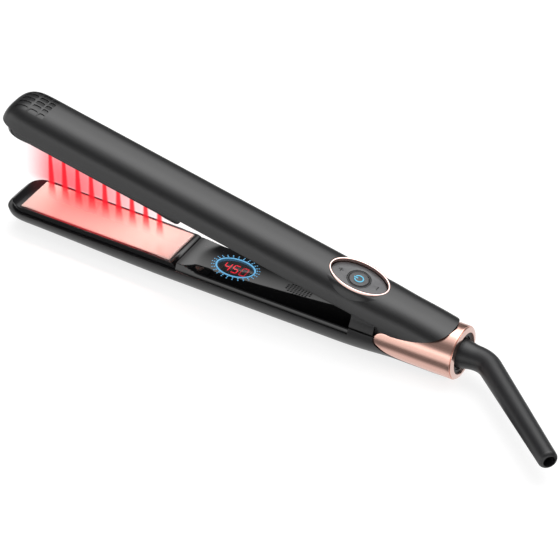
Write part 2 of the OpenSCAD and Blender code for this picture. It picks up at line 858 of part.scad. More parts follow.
module led_board() color("#1f5a3a") upper_place() {
    translate([4, -1.9, 7.3])
        cube([plate_length - 10, 3.8, 1.08]);
}

// inner cover of the upper arm, with the arm that carries the hinge knuckle
module upper_cover() color("#141416") upper_place() {
    difference() {
        flipped() cover_body(crown_z + 2.2, upper_rim);
        translate([cover_front + 6, -10.5, 4.2])
            cube([cover_length - 22, 21, 1.8]);
        // room for the hood when the arms are open
        translate([cover_rear - 1.6, -20, 0])
            cube([5, 40, 10]);
    }
    translate([cover_rear - 11, -9, 4])
        cube([9.4, 18, 4]);
    difference() {
        union() {
            translate([hinge_x, 6.4, -hinge_drop])
                rotate([90, 0, 0])
                    cylinder(h = 12.8, r = 5.6);
            across([[cover_rear - 4, 4], [cover_rear - 4, 8], [hinge_x - 2, 8], [hinge_x + 4.6, 1],
                [hinge_x, -hinge_drop], [hinge_x - 5, -hinge_drop - 2], [hinge_x - 8, 3.4]], 6.4);
        }
        translate([hinge_x, 0, -hinge_drop])
            rotate([90, 0, 0])
                cylinder(h = 40, r = pin_radius + pin_clearance, center = true);
    }
}

// bezel with a thin flange over the boss and a rose inner wall
module pod_ring() color("#e8b0a2") upper_place() at_pod() {
    oval_ring(pod_half_length, pod_half_width, 1.15, pod_top - 1.08, pod_top);
    oval_ring(pod_half_length - 0.57, pod_half_width - 0.57, 0.6, pod_top - 4.4, pod_top - 1);
}

// oval carrier under the rocker, with the tube that guides the power button
module button_guide() color("#19191b") upper_place() at_pod() {
    difference() {
        union() {
            oval(pod_half_length - 0.6, pod_half_width - 0.6, pod_top - 5.7, pod_top - 4.6);
            translate([0, 0, pod_top - 5])
                cylinder(h = 2.6, r = power_radius + 0.7);
            for (s = [-1, 1])
                translate([-0.9, s * (power_radius + 1.3) - 0.4, pod_top - 5])
                    cube([1.8, 0.8, 1.25]);
        }
        translate([0, 0, pod_top - 4.9])
            cylinder(h = 6, r = power_radius + 0.1);
        translate([0, 0, pod_top - 8])
            cylinder(h = 6, r = 2.3);
        for (s = [-1, 1])
            translate([10.8 * s, 0, pod_top - 8])
                cylinder(h = 6, r = 1.8);
    }
}

module temperature_rocker() color("#3a3a3d") upper_place() at_pod() {
    difference() {
        union() {
            oval(pod_half_length - 1.6, pod_half_width - 1.6, rocker_top - 1.5, rocker_top);
            for (s = [-1, 1])
                translate([10.8 * s, 0, board_z + 1.05])
                    cylinder(h = rocker_top - board_z - 1.6, r = 1.1);
            // minus and plus marks
            for (s = [-1, 1])
                translate([10.6 * s - 0.25, -1.3, rocker_top - 0.5])
                    cube([0.5, 2.6, 0.65]);
            translate([-10.6 - 1.3, -0.25, rocker_top - 0.5])
                cube([2.6, 0.5, 0.65]);
        }
        cylinder(h = 60, r = power_radius + 0.95, center = true);
    }
}

module power_button() color("#2c2c2f") upper_place() at_pod() {
    difference() {
        union() {
            translate([0, 0, rocker_top - 2.1])
                cylinder(h = 1.8, r = power_radius);
            translate([0, 0, rocker_top - 0.3])
                cylinder(h = 0.5, r1 = power_radius, r2 = power_radius - 0.5);
            translate([0, 0, board_z + 1.15])
                cylinder(h = 2, r = 2);
        }
        translate([0, 0, rocker_top - 0.1])
            icon_body(1);
    }
}

// open ring with a bar in its gap
module icon_body(h) {
    difference() {
        cylinder(h = h, r = 2.5);
        translate([0, 0, -1])
            cylinder(h = h + 2, r = 1.9);
        translate([-4, -0.8, -1])
            cube([4, 1.6, h + 2]);
    }
    translate([-2.9, -0.3, 0])
        cube([2.2, 0.6, h]);
}

module power_icon() color("#3f9fe0") upper_place() at_pod()
    translate([0, 0, rocker_top - 0.1])
        icon_body(0.34);

module control_board() color("#1f5a3a") upper_place() at_pod() {
    translate([-26, -8.6, board_z - 1.2])
        cube([39, 17.2, 1.2]);
    for (x = [-10.8, 0, 10.8])
        translate([x - 1.5, -1.5, board_z - 0.1])
            cube([3, 3, 0.6]);
    translate([-14, -3, board_z - 3.4])
        cube([8, 6, 2.3]);
    translate([-21, 0, board_z - 4.4])
        cylinder(h = 3.3, r = 2.6);
}

lower_shell();
lower_frame();
lower_plate();
lower_heater();
lower_pads();
lower_screws();
display_panel();
display_lens();
ring_light();
tick_lights();
display_digits();
display_board();
hinge_hood();
hinge_bracket();
hinge_pin();
arm_spring();
collar();
end_ring();
swivel_cup();
swivel_disc();
cord_boot();
upper_shell();
upper_frame();
upper_plate();
upper_heater();
upper_pads();
upper_screws();
infrared_leds();
led_board();
upper_cover();
pod_ring();
button_guide();
temperature_rocker();
power_button();
power_icon();
control_board();
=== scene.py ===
import math

import bpy
import bmesh
from mathutils import Matrix, Vector


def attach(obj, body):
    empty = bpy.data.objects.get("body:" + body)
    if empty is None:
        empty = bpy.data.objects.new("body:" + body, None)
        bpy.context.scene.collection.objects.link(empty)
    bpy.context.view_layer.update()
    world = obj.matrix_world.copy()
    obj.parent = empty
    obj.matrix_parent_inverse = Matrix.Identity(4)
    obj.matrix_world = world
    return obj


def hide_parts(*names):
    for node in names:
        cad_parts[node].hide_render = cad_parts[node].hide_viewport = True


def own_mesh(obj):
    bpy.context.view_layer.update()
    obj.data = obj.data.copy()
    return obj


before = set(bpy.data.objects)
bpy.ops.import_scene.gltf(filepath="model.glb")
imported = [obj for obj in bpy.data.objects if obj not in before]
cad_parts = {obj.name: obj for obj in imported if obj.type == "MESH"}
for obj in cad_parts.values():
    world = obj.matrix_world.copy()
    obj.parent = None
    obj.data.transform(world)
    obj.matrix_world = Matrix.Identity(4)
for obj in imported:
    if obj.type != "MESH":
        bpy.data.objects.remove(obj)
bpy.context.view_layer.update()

# Lower casing
# A trough moulded in soft-touch ABS, with 1.8 mm walls. It lies on a flat strip along its underside,
# and steps up at the hinge to the parting line with the hood.

# places are in millimetres of the closed arms: x from the plate's front end, z from the lower plate's face
ORIGIN_X, ORIGIN_Z, OPEN = 124.4, 17.2, math.radians(11.1)
PLATE, WIDTH, SQUARENESS, WALL = 92.4, 15.0, 2.8, 1.8
LOWER_TIP, UPPER_TIP, CASING_REAR, LOWER_RIM = -11.2, -17.9, 252, 4.4
POD_X, COVER_REAR, HINGE_X, HINGE_Z = 193.2, 198.7, 223.0, -3.0
COLLAR_R, RING_FRONT = 14.2, 252.6

to_metres = Matrix.Scale(0.001, 4)
LOWER = Matrix.Translation((-ORIGIN_X / 1000, 0, ORIGIN_Z / 1000)) @ to_metres
pivot = Matrix.Translation((HINGE_X, 0, HINGE_Z))
UPPER = LOWER @ pivot @ Matrix.Rotation(OPEN, 4, "Y") @ pivot.inverted()


def linear(code):
    """The linear colour of an sRGB hex value."""
    parts = [int(code[i:i + 2], 16) / 255 for i in (1, 3, 5)]
    return [v / 12.92 if v <= 0.04045 else ((v + 0.055) / 1.055) ** 2.4 for v in parts] + [1]


def add(tree, kind, props=None, values=None, links=None):
    """Adds a node with its settings, constant inputs and linked inputs."""
    made = tree.nodes.new(kind)
    for key, value in (props or {}).items():
        setattr(made, key, value)
    for key, value in (values or {}).items():
        made.inputs[key].default_value = value
    for key, socket in (links or {}).items():
        tree.links.new(socket, made.inputs[key])
    return made


def blank(name):
    """A new material without nodes, and its tree."""
    mat = bpy.data.materials.new(name)
    mat.use_nodes = True
    mat.node_tree.nodes.clear()
    return mat, mat.node_tree


def moulded(name, colour, rough, grain_mm, depth_mm, mottle=0.05, **extra):
    """A moulded plastic: its colour and gloss drift a little, over a fine tool texture."""
    mat, tree = blank(name)
    place = add(tree, "ShaderNodeTexCoord")
    flow = add(tree, "ShaderNodeTexNoise", values={"Scale": 55, "Detail": 3},
               links={"Vector": place.outputs["Object"]})
    grain = add(tree, "ShaderNodeTexNoise", values={"Scale": 1000 / grain_mm, "Detail": 2},
                links={"Vector": place.outputs["Object"]})
    dark = [c * (1 - 2 * mottle) for c in linear(colour)[:3]] + [1]
    light = [c * (1 + 2 * mottle) for c in linear(colour)[:3]] + [1]
    tint = add(tree, "ShaderNodeMix", {"data_type": "RGBA"}, {"A": dark, "B": light},
               {"Factor": flow.outputs["Fac"]})
    gloss = add(tree, "ShaderNodeMapRange", values={"To Min": rough * (1 - mottle),
                                                    "To Max": rough * (1 + mottle)},
                links={"Value": flow.outputs["Fac"]})
    bump = add(tree, "ShaderNodeBump", values={"Strength": 0.5, "Distance": depth_mm / 1000},
               links={"Height": grain.outputs["Fac"]})
    shader = add(tree, "ShaderNodeBsdfPrincipled", values=extra,
                 links={"Base Color": tint.outputs["Result"], "Roughness": gloss.outputs["Result"],
                        "Normal": bump.outputs["Normal"]})
    add(tree, "ShaderNodeOutputMaterial", links={"Surface": shader.outputs["BSDF"]})
    return mat


def unit(t):
    return max(0.0, min(1.0, t))


def ease(x, a, b):
    """A smooth step from 0 at a to 1 at b."""
    t = unit((x - a) / (b - a))
    return t * t * (3 - 2 * t)


def round_nose(x, tip, reach, e):
    """Share of the full size at x: it rounds off over a reach behind the tip."""
    return (1 - (1 - unit((x - tip) / reach)) ** e) ** (1 / e)


def casing_values(x, inset, low):
    """Half width, centre, depth and squareness of a casing's section at x."""
    tip = (LOWER_TIP if low else UPPER_TIP) + inset
    narrow = (WIDTH - COLLAR_R) * ease(x, HINGE_X - 17, HINGE_X + 3)
    half = (WIDTH - inset) * round_nose(x, tip, *((16.2, 3.8) if low else (25.8, 3.5))) - narrow
    if low:
        centre = 0.4 + 2.6 * ease(x, COVER_REAR - 8, HINGE_X)
        depth = (14.3 + 3.1 * ease(x, -10, PLATE) - inset) * round_nose(x, tip, 15.4, 3.4)
        power = SQUARENESS - (SQUARENESS - 2) * ease(x, COVER_REAR - 8, HINGE_X)
    else:
        centre, power = 0.3, SQUARENESS
        top = 18.1 - 1.2 * unit(x / POD_X) - 0.8 * ease(x, HINGE_X + 10, RING_FRONT + 2)
        depth = (top - inset) * round_nose(x, tip, 15.7, 2.3)
    return half, centre * round_nose(x, tip, 15, 3), depth, power


def casing_row(x, inset, low, rim, steps=56):
    """One row of points round a casing's section, from rim to rim."""
    half, centre, depth, power = casing_values(x, inset, low)
    side = -1 if low else 1
    share = unit((rim - centre) / max(depth - centre, 1e-6)) ** (power / 2)
    first = math.asin(min(1, share))
    row = []
    for k in range(steps + 1):
        t = first + (math.pi - 2 * first) * k / steps
        c, s = math.cos(t), max(0, math.sin(t))
        y = half * math.copysign(abs(c) ** (2 / power), c)
        z = centre + (depth - centre) * s ** (2 / power)
        if k in (0, steps):
            z = rim
        if low:
            z = min(z, ORIGIN_Z)
        row.append((x, y, side * z))
    return row


def make(name, verts, faces, recalc=True):
    """A mesh object in millimetres of the arm, with its doubles merged."""
    mesh = bpy.data.meshes.new(name)
    mesh.from_pydata(verts, [], faces)
    obj = bpy.data.objects.new(name, mesh)
    bpy.context.scene.collection.objects.link(obj)
    bm = bmesh.new()
    bm.from_mesh(mesh)
    bmesh.ops.remove_doubles(bm, verts=bm.verts, dist=1e-4)
    bmesh.ops.dissolve_degenerate(bm, dist=1e-5, edges=bm.edges)
    if recalc:
        bmesh.ops.recalc_face_normals(bm, faces=bm.faces)
    bm.to_mesh(mesh)
    bm.free()
    return obj


def grid_faces(rows, cols, wrap=False, start=0):
    """Quads between rows of points; wrap joins the last column to the first."""
    faces = []
    for i in range(rows - 1):
        for j in range(cols if wrap else cols - 1):
            a, b = start + i * cols + j, start + i * cols + (j + 1) % cols
            faces.append((a, b, b + cols, a + cols))
    return faces


def between(name, outer, inner):
    """A solid between two skins of the same rows, closed along all four sides."""
    rows, n = len(outer), len(outer[0])
    size = rows * n
    faces = grid_faces(rows, n) + [f[::-1] for f in grid_faces(rows, n, start=size)]
    for i in range(rows - 1):
        for j in (0, n - 1):
            a, b = i * n + j, (i + 1) * n + j
            faces.append((a, b, b + size, a + size))
    for j in range(n - 1):
        for a in ((rows - 1) * n + j, j):
            faces.append((a, a + 1, a + 1 + size, a + size))
    return make(name, [p for row in outer + inner for p in row], faces)


def shell(name, stations, low, rim_at):
    """A trough of even wall: an outer and an inner skin joined along the rim and the rear edge."""
    outer = [casing_row(x, 0, low, rim_at(x)) for x in stations]
    inner = [casing_row(max(x, stations[0] + 1.9), WALL, low, rim_at(x)) for x in stations]
    return between(name, outer, inner)


def use(obj, kind, **settings):
    """Puts a modifier on a piece and applies it."""
    modifier = obj.modifiers.new(kind, kind)
    for key, value in settings.items():
        setattr(modifier, key, value)
    return bake(obj)


def bake(obj):
    """Turns the evaluated piece into a plain mesh without modifiers."""
    made = bpy.data.meshes.new_from_object(obj.evaluated_get(bpy.context.evaluated_depsgraph_get()))
    old, obj.data = obj.data, made
    made.name = obj.name
    obj.modifiers.clear()
    if old.users == 0:
        bpy.data.meshes.remove(old)
    return obj


def settle(obj, place, body, material, slot, *nodes, sharp=32):
    """Puts a finished piece in its place in the frame, with its body, finish and the nodes it stands for."""
    obj.data.transform(place)
    obj.data.materials.clear()
    obj.data.materials.append(material)
    for face in obj.data.polygons:
        face.use_smooth = True
        face.material_index = 0
    obj.data.set_sharp_from_angle(angle=math.radians(sharp))
    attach(obj, body)
    if nodes:
        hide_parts(*nodes)
    return obj


def bezier(p, t):
    return tuple((1 - t) ** 3 * a + 3 * t * (1 - t) ** 2 * b + 3 * t * t * (1 - t) * c + t ** 3 * d
                 for a, b, c, d in zip(*p))


def collar_edge(g, count=26):
    """Side outline of the collar grown by g, from the underside round the ear to the top."""
    ear_x, ear_z, r = HINGE_X - 4.3, -2.2, 5.2 + g
    tail = (ear_x - r * math.sin(math.radians(29)), ear_z - r * math.cos(math.radians(29)))
    low = [(HINGE_X + 21, -13.6 - g), (HINGE_X + 7, -12.6 - g), (HINGE_X - 3, -11.2 - g), tail]
    high = [(ear_x, ear_z + r), (HINGE_X + 9, ear_z + r), (HINGE_X + 20, 5.5 + g), (RING_FRONT - g, 11.3)]
    points = [(RING_FRONT - g, -17.3), (RING_FRONT - g, -15)]
    points += [bezier(low, i / count) for i in range(count + 1)]
    for i in range(1, count):
        t = math.radians(29 + 151 * i / count)
        points.append((ear_x - r * math.sin(t), ear_z - r * math.cos(t)))
    return points + [bezier(high, i / count) for i in range(count + 1)]


def slab(name, outline, half=40):
    """A cutter: a side outline carried right across the arm."""
    n = len(outline)
    verts = [(x, s, z) for s in (-half, half) for x, z in outline]
    faces = [tuple(range(n)), tuple(range(2 * n - 1, n - 1, -1))]
    faces += [(i, i + n, (i + 1) % n + n, (i + 1) % n) for i in range(n)]
    return make(name, verts, faces)


def cut(obj, cutter, operation="DIFFERENCE"):
    """Cuts a piece with another, which is then thrown away."""
    use(obj, "BOOLEAN", object=cutter, operation=operation, solver="EXACT")
    bpy.data.objects.remove(cutter)
    return obj


def nose_stations(first, reach, count):
    """Stations along x, closest together at the nose."""
    return [first + reach * (1 - math.cos(math.pi / 2 * i / count)) for i in range(count + 1)]


def rim_start(low, rim):
    """Where the casing first reaches down to its rim."""
    a, b = LOWER_TIP if low else UPPER_TIP, 0.0
    for _ in range(50):
        m = (a + b) / 2
        a, b = (m, b) if casing_values(m, 0, low)[2] < rim + 0.02 else (a, m)
    return b


def lower_rim(x):
    """Depth of the lower rim; it steps up to the hood's parting line behind the panel."""
    if x < COVER_REAR + 0.3:
        return LOWER_RIM
    return LOWER_RIM - 3.6 * unit((x - COVER_REAR - 0.3) / 0.4) - 0.4 * unit((x - COVER_REAR - 0.7) / 0.4)


# Soft-touch ABS: a satin charcoal with a faint moulded grain. The grain is near 0.1 mm on the real one
# and drawn at 0.35 mm, so that it shows.
soft_touch = moulded("Soft_touch_charcoal_ABS", "#1a1a1b", 0.36, 0.35, 0.01, IOR=1.55)

first = rim_start(True, LOWER_RIM)
lower_stations = nose_stations(first, 17 - (first - LOWER_TIP), 30) + [8 + 3 * i for i in range(61)]
lower_stations += [COVER_REAR - 5, COVER_REAR + 0.29, COVER_REAR + 0.5, COVER_REAR + 0.7, COVER_REAR + 1.1]
lower_stations += [202 + 2 * i for i in range(26)]
lower_stations = sorted(x for x in set(lower_stations) if x <= CASING_REAR)
lower_casing = shell("Lower_casing", lower_stations, True, lower_rim)
use(lower_casing, "BEVEL", width=0.3, segments=3, limit_method="ANGLE", angle_limit=math.radians(50))
edge = collar_edge(0.12)
cut(lower_casing, slab("Collar_room", edge + [(270, 30), (270, -30), (RING_FRONT, -30)]))
settle(lower_casing, LOWER, "lower_arm", soft_touch, "charcoal_casing", "lower_shell")

# Frames round the plates
# Each plate floats in a black frame moulded in glossy, heat-resistant PBT. It is rounded at the nose,
# closes the casing's mouth and rises to a shoulder behind the plate.


def dressed(node, name, place, width, segments=3, angle=35):
    """A merged copy of a CAD node in millimetres, with its edges rounded."""
    obj = bpy.data.objects.new(name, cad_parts[node].data.copy())
    bpy.context.scene.collection.objects.link(obj)
    obj.data.transform(place.inverted())
    bm = bmesh.new()
    bm.from_mesh(obj.data)
    bmesh.ops.remove_doubles(bm, verts=bm.verts, dist=2e-3)
    bmesh.ops.dissolve_limit(bm, angle_limit=math.radians(0.6), verts=bm.verts, edges=bm.edges)
    bm.to_mesh(obj.data)
    bm.free()
    if width:
        use(obj, "BEVEL", width=width, segments=segments, limit_method="ANGLE",
            angle_limit=math.radians(angle))
    return obj


# moulded PBT: near black, with a clear but slightly rippled reflection
glossy_black = moulded("Glossy_black_PBT", "#0e0e10", 0.16, 1.2, 0.003, 0.06, IOR=1.5)
lower_frame = dressed("lower_frame", "Lower_plate_frame", LOWER, 0.0)
for vertex in lower_frame.data.vertices:
    if -1.5 < vertex.co.z < -1.1 and abs(vertex.co.y) > 12.3:
        vertex.co.z += 0.9 * (1 - ease(vertex.co.x, 83, 88))
use(lower_frame, "BEVEL", width=0.25, segments=3, limit_method="ANGLE", angle_limit=math.radians(35))
settle(lower_frame, LOWER, "lower_arm", glossy_black, "frame_black", "lower_frame")
settle(dressed("upper_frame", "Upper_plate_frame", UPPER, 0.25), UPPER, "upper_arm", glossy_black,
       "frame_black", "upper_frame")

# Plates, heaters and pads
# Aluminium plates under a rose ceramic coating, fired on and polished. Each is clipped over a ceramic
# heating bar and floats on four silicone pads.


def coated(name, colour, rough, fleck):
    """A fired ceramic coating: glassy, with a pearl fleck. A real fleck is a few hundredths of a millimetre
    and is drawn at 0.4 mm, so that it shows."""
    mat, tree = blank(name)
    place = add(tree, "ShaderNodeTexCoord")
    pearl = add(tree, "ShaderNodeTexVoronoi", values={"Scale": 2600, "Randomness": 1},
                links={"Vector": place.outputs["Object"]})
    cloud = add(tree, "ShaderNodeTexNoise", values={"Scale": 70, "Detail": 2},
                links={"Vector": place.outputs["Object"]})
    base = linear(colour)[:3]
    dark = [c * (1 - fleck) for c in base] + [1]
    light = [min(1, c * (1 + fleck)) for c in base] + [1]
    tint = add(tree, "ShaderNodeMix", {"data_type": "RGBA"}, {"A": dark, "B": light},
               {"Factor": pearl.outputs["Distance"]})
    gloss = add(tree, "ShaderNodeMapRange", values={"To Min": rough * 0.9, "To Max": rough * 1.15},
                links={"Value": cloud.outputs["Fac"]})
    shader = add(tree, "ShaderNodeBsdfPrincipled", values={"Coat Weight": 0.35, "Coat Roughness": 0.08,
                                                           "IOR": 1.55},
                 links={"Base Color": tint.outputs["Result"], "Roughness": gloss.outputs["Result"]})
    add(tree, "ShaderNodeOutputMaterial", links={"Surface": shader.outputs["BSDF"]})
    return mat


# polished ceramic: a pale rose gloss, softly mottled
rose_ceramic = coated("Rose_ceramic_coating", "#fad6cc", 0.2, 0.06)
settle(dressed("lower_plate", "Lower_plate", LOWER, 0.18), LOWER, "lower_plate", rose_ceramic,
       "plate_ceramic", "lower_plate")
settle(dressed("upper_plate", "Upper_plate", UPPER, 0.12), UPPER, "upper_plate", rose_ceramic,
       "plate_ceramic", "upper_plate")

# sintered alumina is chalky and off-white, moulded silicone grey and dull
alumina = moulded("Sintered_alumina", "#e8e4da", 0.6, 0.4, 0.01)
silicone = moulded("Moulded_silicone", "#bdb8b0", 0.55, 0.5, 0.01)


def paint(material, *nodes):
    """Gives CAD nodes that stay in view a finish."""
    for n in nodes:
        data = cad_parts[n].data
        data.materials.clear()
        data.materials.append(material)


paint(alumina, "lower_heater", "upper_heater")
for node, name, place, body, joint in (("lower_pads", "Lower_pads", LOWER, "lower_arm", "lower_float"),
                                       ("upper_pads", "Upper_pads", UPPER, "upper_arm", "upper_float")):
    pads = settle(dressed(node, name, place, 0.15), place, body, silicone, "silicone", node)
    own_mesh(pads)

# Screws
# Zinc-plated steel pan heads with a cross recess. Two hold each frame to its casing from inside the
# rail channel.

# zinc plating: a cool grey metal with a half dull shine
zinc = moulded("Zinc_plated_steel", "#a8a8a6", 0.32, 0.8, 0.004, Metallic=1.0)
paint(zinc, "lower_screws", "upper_screws")

# Display panel
# The inner cover behind the plate: piano-black ABS, crowned across its width, with bevelled long edges and
# a front end swept up to the frame. It carries the oval display and a field of vent holes.

COVER_FRONT, PANEL_FLOOR, CROWN = 96.9, -5.2, 85.0
DISPLAY_X, VENT_X = 124.9, 162.7


def crown(y):
    """Height of the panel's crowned face."""
    return -1 - (CROWN - math.sqrt(CROWN * CROWN - y * y))


def panel_height(x, y):
    """The panel's face, with the hump at its front and the bevel along its sides."""
    hump = -0.5 - 3 * ease(x, 98.0, 118.0)
    face = (hump + crown(y) + math.sqrt((hump - crown(y)) ** 2 + 0.16)) / 2 - 0.04
    bevel = -0.5 - (abs(y) - 12.55) * 3.4 / 1.55
    return min(face, bevel) if abs(y) > 12.0 else face


xs = [COVER_FRONT + 0.3 * i for i in range(53)] + [113 + 2.2 * i for i in range(39)] + [COVER_REAR]
ys = [14.1, 13.85, 13.6, 13.35, 13.1, 12.95, 12.8, 12.65, 12.5] + [12 - 0.96 * i for i in range(26)]
ys += [-12.5, -12.65, -12.8, -12.95, -13.1, -13.35, -13.6, -13.85, -14.1]
top = [[(x, y, panel_height(x, y)) for y in ys] for x in xs]
base = [[(x, y, PANEL_FLOOR) for y in ys] for x in xs]
panel = between("Display_panel", top, base)


def loft(name, rows, capped=False):
    """A skin through closed rows of points, with both ends capped or the last row meeting the first."""
    n = len(rows[0])
    faces = grid_faces(len(rows), n, wrap=True)
    if capped:
        faces += [tuple(range(n))[::-1], tuple(range((len(rows) - 1) * n, len(rows) * n))]
    return make(name, [p for row in rows for p in row], faces)


def oval_piece(name, a, b, profile, centre, lift=None, count=96, closed=True):
    """A solid oval ring, or a solid oval when it isn't closed on itself. Each point of the profile is an
    inset from the outer oval and a height."""
    rows = []
    for inset, z in profile + (profile[:1] if closed else []):
        row = []
        for k in range(count):
            t = 2 * math.pi * k / count
            y = (b - inset) * math.sin(t)
            row.append((centre + (a - inset) * math.cos(t), y, z + (lift(y) if lift else 0)))
        rows.append(row)
    return loft(name, rows, capped=not closed)


cut(panel, oval_piece("Display_seat", 11.45, 7.45, [(0, -2.6), (0, 2)], DISPLAY_X, closed=False))


def tree_of(name, inputs):
    """A Geometry Nodes tree with named inputs; returns it with its input and output nodes."""
    tree = bpy.data.node_groups.new(name, "GeometryNodeTree")
    tree.interface.new_socket("Geometry", in_out="OUTPUT", socket_type="NodeSocketGeometry")
    for key, value in inputs.items():
        kind = {int: "Int", float: "Float"}.get(type(value), "Object")
        socket = tree.interface.new_socket(key, in_out="INPUT", socket_type="NodeSocket" + kind)
        if kind != "Object":
            socket.default_value = value
    return tree, tree.nodes.new("NodeGroupInput"), tree.nodes.new("NodeGroupOutput")


def grown(name, tree, inputs):
    """Runs a tree and keeps its result as a plain mesh."""
    obj = bpy.data.objects.new(name, bpy.data.meshes.new(name))
    bpy.context.scene.collection.objects.link(obj)
    modifier = obj.modifiers.new("Tree", "NODES")
    modifier.node_group = tree
    for item in tree.interface.items_tree:
        if item.in_out == "INPUT" and item.name in inputs:
            modifier[item.identifier] = inputs[item.name]
    return bake(obj)


# polished piano-black ABS: deep black, with reflections almost as sharp as a mirror's
piano_black = moulded("Piano_black_ABS", "#08080a", 0.05, 4, 0.0015, 0.03, IOR=1.52)

# the vent: nine short rows of round holes, longest in the middle, drawn by their counts and pitches
tree, given, out = tree_of("Vent_holes", {"Rows": 9, "Holes": 7, "Pitch": 1.7, "Spacing": 1.35,
                                          "Radius": 0.55, "Half length": 7.6, "Half width": 4.4})
sides = []
for count, gap in (("Rows", "Pitch"), ("Holes", "Spacing")):
    less = add(tree, "ShaderNodeMath", {"operation": "SUBTRACT"}, {1: 1.0}, {0: given.outputs[count]})
    sides.append(add(tree, "ShaderNodeMath", {"operation": "MULTIPLY"},
                     links={0: less.outputs[0], 1: given.outputs[gap]}))
field = add(tree, "GeometryNodeMeshGrid", links={"Size X": sides[0].outputs[0],
                                                 "Size Y": sides[1].outputs[0],
                                                 "Vertices X": given.outputs["Rows"],
                                                 "Vertices Y": given.outputs["Holes"]})
where = add(tree, "GeometryNodeInputPosition")
reach = add(tree, "ShaderNodeCombineXYZ", {}, {"Z": 1.0}, {"X": given.outputs["Half length"],
                                                           "Y": given.outputs["Half width"]})
share = add(tree, "ShaderNodeVectorMath", {"operation": "DIVIDE"},
            links={0: where.outputs[0], 1: reach.outputs[0]})
away = add(tree, "ShaderNodeVectorMath", {"operation": "LENGTH"}, links={0: share.outputs[0]})
inside = add(tree, "ShaderNodeMath", {"operation": "LESS_THAN"}, {1: 1.0}, {0: away.outputs["Value"]})
drill = add(tree, "GeometryNodeMeshCylinder", values={"Vertices": 20, "Depth": 8.0},
            links={"Radius": given.outputs["Radius"]})
drills = add(tree, "GeometryNodeInstanceOnPoints", links={"Points": field.outputs["Mesh"],
                                                          "Selection": inside.outputs[0],
                                                          "Instance": drill.outputs["Mesh"]})
real = add(tree, "GeometryNodeRealizeInstances", links={"Geometry": drills.outputs["Instances"]})
done = add(tree, "GeometryNodeSetMaterial", values={"Material": piano_black},
           links={"Geometry": real.outputs["Geometry"]})
tree.links.new(done.outputs["Geometry"], out.inputs["Geometry"])
vents = grown("Vent_cutters", tree, {})
vents.data.transform(Matrix.Translation((VENT_X, 0, -4)))
cut(panel, vents)
settle(panel, LOWER, "lower_arm", piano_black, "gloss_black", "display_panel", sharp=25)

# Display
# A smoked acrylic lens with a red numeric display under it, inside a blue light guide. Twenty-six spokes
# of two lit dots stand round it.


def lit(name, colour, strength, rough=0.35):
    """A light-coloured diffusing plastic that glows evenly."""
    mat, tree = blank(name)
    place = add(tree, "ShaderNodeTexCoord")
    haze = add(tree, "ShaderNodeTexNoise", values={"Scale": 300, "Detail": 2},
               links={"Vector": place.outputs["Object"]})
    base = linear(colour)
    dim = [c * 0.92 for c in base[:3]] + [1]
    tint = add(tree, "ShaderNodeMix", {"data_type": "RGBA"}, {"A": dim, "B": base},
               {"Factor": haze.outputs["Fac"]})
    shader = add(tree, "ShaderNodeBsdfPrincipled",
                 values={"Roughness": rough, "Emission Strength": strength,
                         "Base Color": [c * 0.3 for c in base[:3]] + [1]},
                 links={"Emission Color": tint.outputs["Result"]})
    add(tree, "ShaderNodeOutputMaterial", links={"Surface": shader.outputs["BSDF"]})
    return mat


# a lit light guide: an even, cold blue that glows more than it shines
blue_light = lit("Blue_light_guide", "#66b4e4", 0.85)
ring = oval_piece("Display_light_ring", 11.38, 7.38,
                  [(0, -1.6), (0, -0.1), (0.12, 0.04), (0.45, 0.09), (0.8, 0.04), (0.92, -0.1), (0.92, -1.6)],
                  DISPLAY_X, lift=crown)
settle(ring, LOWER, "lower_arm", blue_light, "blue_light", "ring_light")

SPOKES = 26
tree, given, out = tree_of("Lit_dots", {"Spokes": SPOKES, "Half length": 12.0, "Half width": 8.0,
                                        "Dot": 0.36})
circle = add(tree, "GeometryNodeMeshCircle", links={"Vertices": given.outputs["Spokes"]},
             values={"Radius": 1.0})
where = add(tree, "GeometryNodeInputPosition")
turned = add(tree, "ShaderNodeVectorRotate", {"rotation_type": "Z_AXIS"}, {"Angle": math.pi / SPOKES},
             {"Vector": where.outputs[0]})
stretch = add(tree, "ShaderNodeCombineXYZ", links={"X": given.outputs["Half length"],
                                                   "Y": given.outputs["Half width"]})
oval_at = add(tree, "ShaderNodeVectorMath", {"operation": "MULTIPLY"},
              links={0: turned.outputs[0], 1: stretch.outputs[0]})
spots = add(tree, "GeometryNodeSetPosition", links={"Geometry": circle.outputs["Mesh"],
                                                    "Position": oval_at.outputs[0]})
dot = add(tree, "GeometryNodeMeshUVSphere", values={"Segments": 16, "Rings": 8},
          links={"Radius": given.outputs["Dot"]})
flat = add(tree, "GeometryNodeTransform", values={"Scale": (1, 1, 0.3)},
           links={"Geometry": dot.outputs["Mesh"]})
dots = add(tree, "GeometryNodeInstanceOnPoints", links={"Points": spots.outputs["Geometry"],
                                                        "Instance": flat.outputs["Geometry"]})
real = add(tree, "GeometryNodeRealizeInstances", links={"Geometry": dots.outputs["Instances"]})
height = add(tree, "GeometryNodeInputPosition")
split = add(tree, "ShaderNodeSeparateXYZ", links={"Vector": height.outputs[0]})
square = add(tree, "ShaderNodeMath", {"operation": "MULTIPLY"},
             links={0: split.outputs["Y"], 1: split.outputs["Y"]})
fall = add(tree, "ShaderNodeMath", {"operation": "MULTIPLY"}, {1: -0.5 / CROWN}, {0: square.outputs[0]})
drop = add(tree, "ShaderNodeCombineXYZ", links={"Z": fall.outputs[0]})
draped = add(tree, "GeometryNodeSetPosition", links={"Geometry": real.outputs["Geometry"],
                                                     "Offset": drop.outputs[0]})
done = add(tree, "GeometryNodeSetMaterial", values={"Material": blue_light},
           links={"Geometry": draped.outputs["Geometry"]})
tree.links.new(done.outputs["Geometry"], out.inputs["Geometry"])


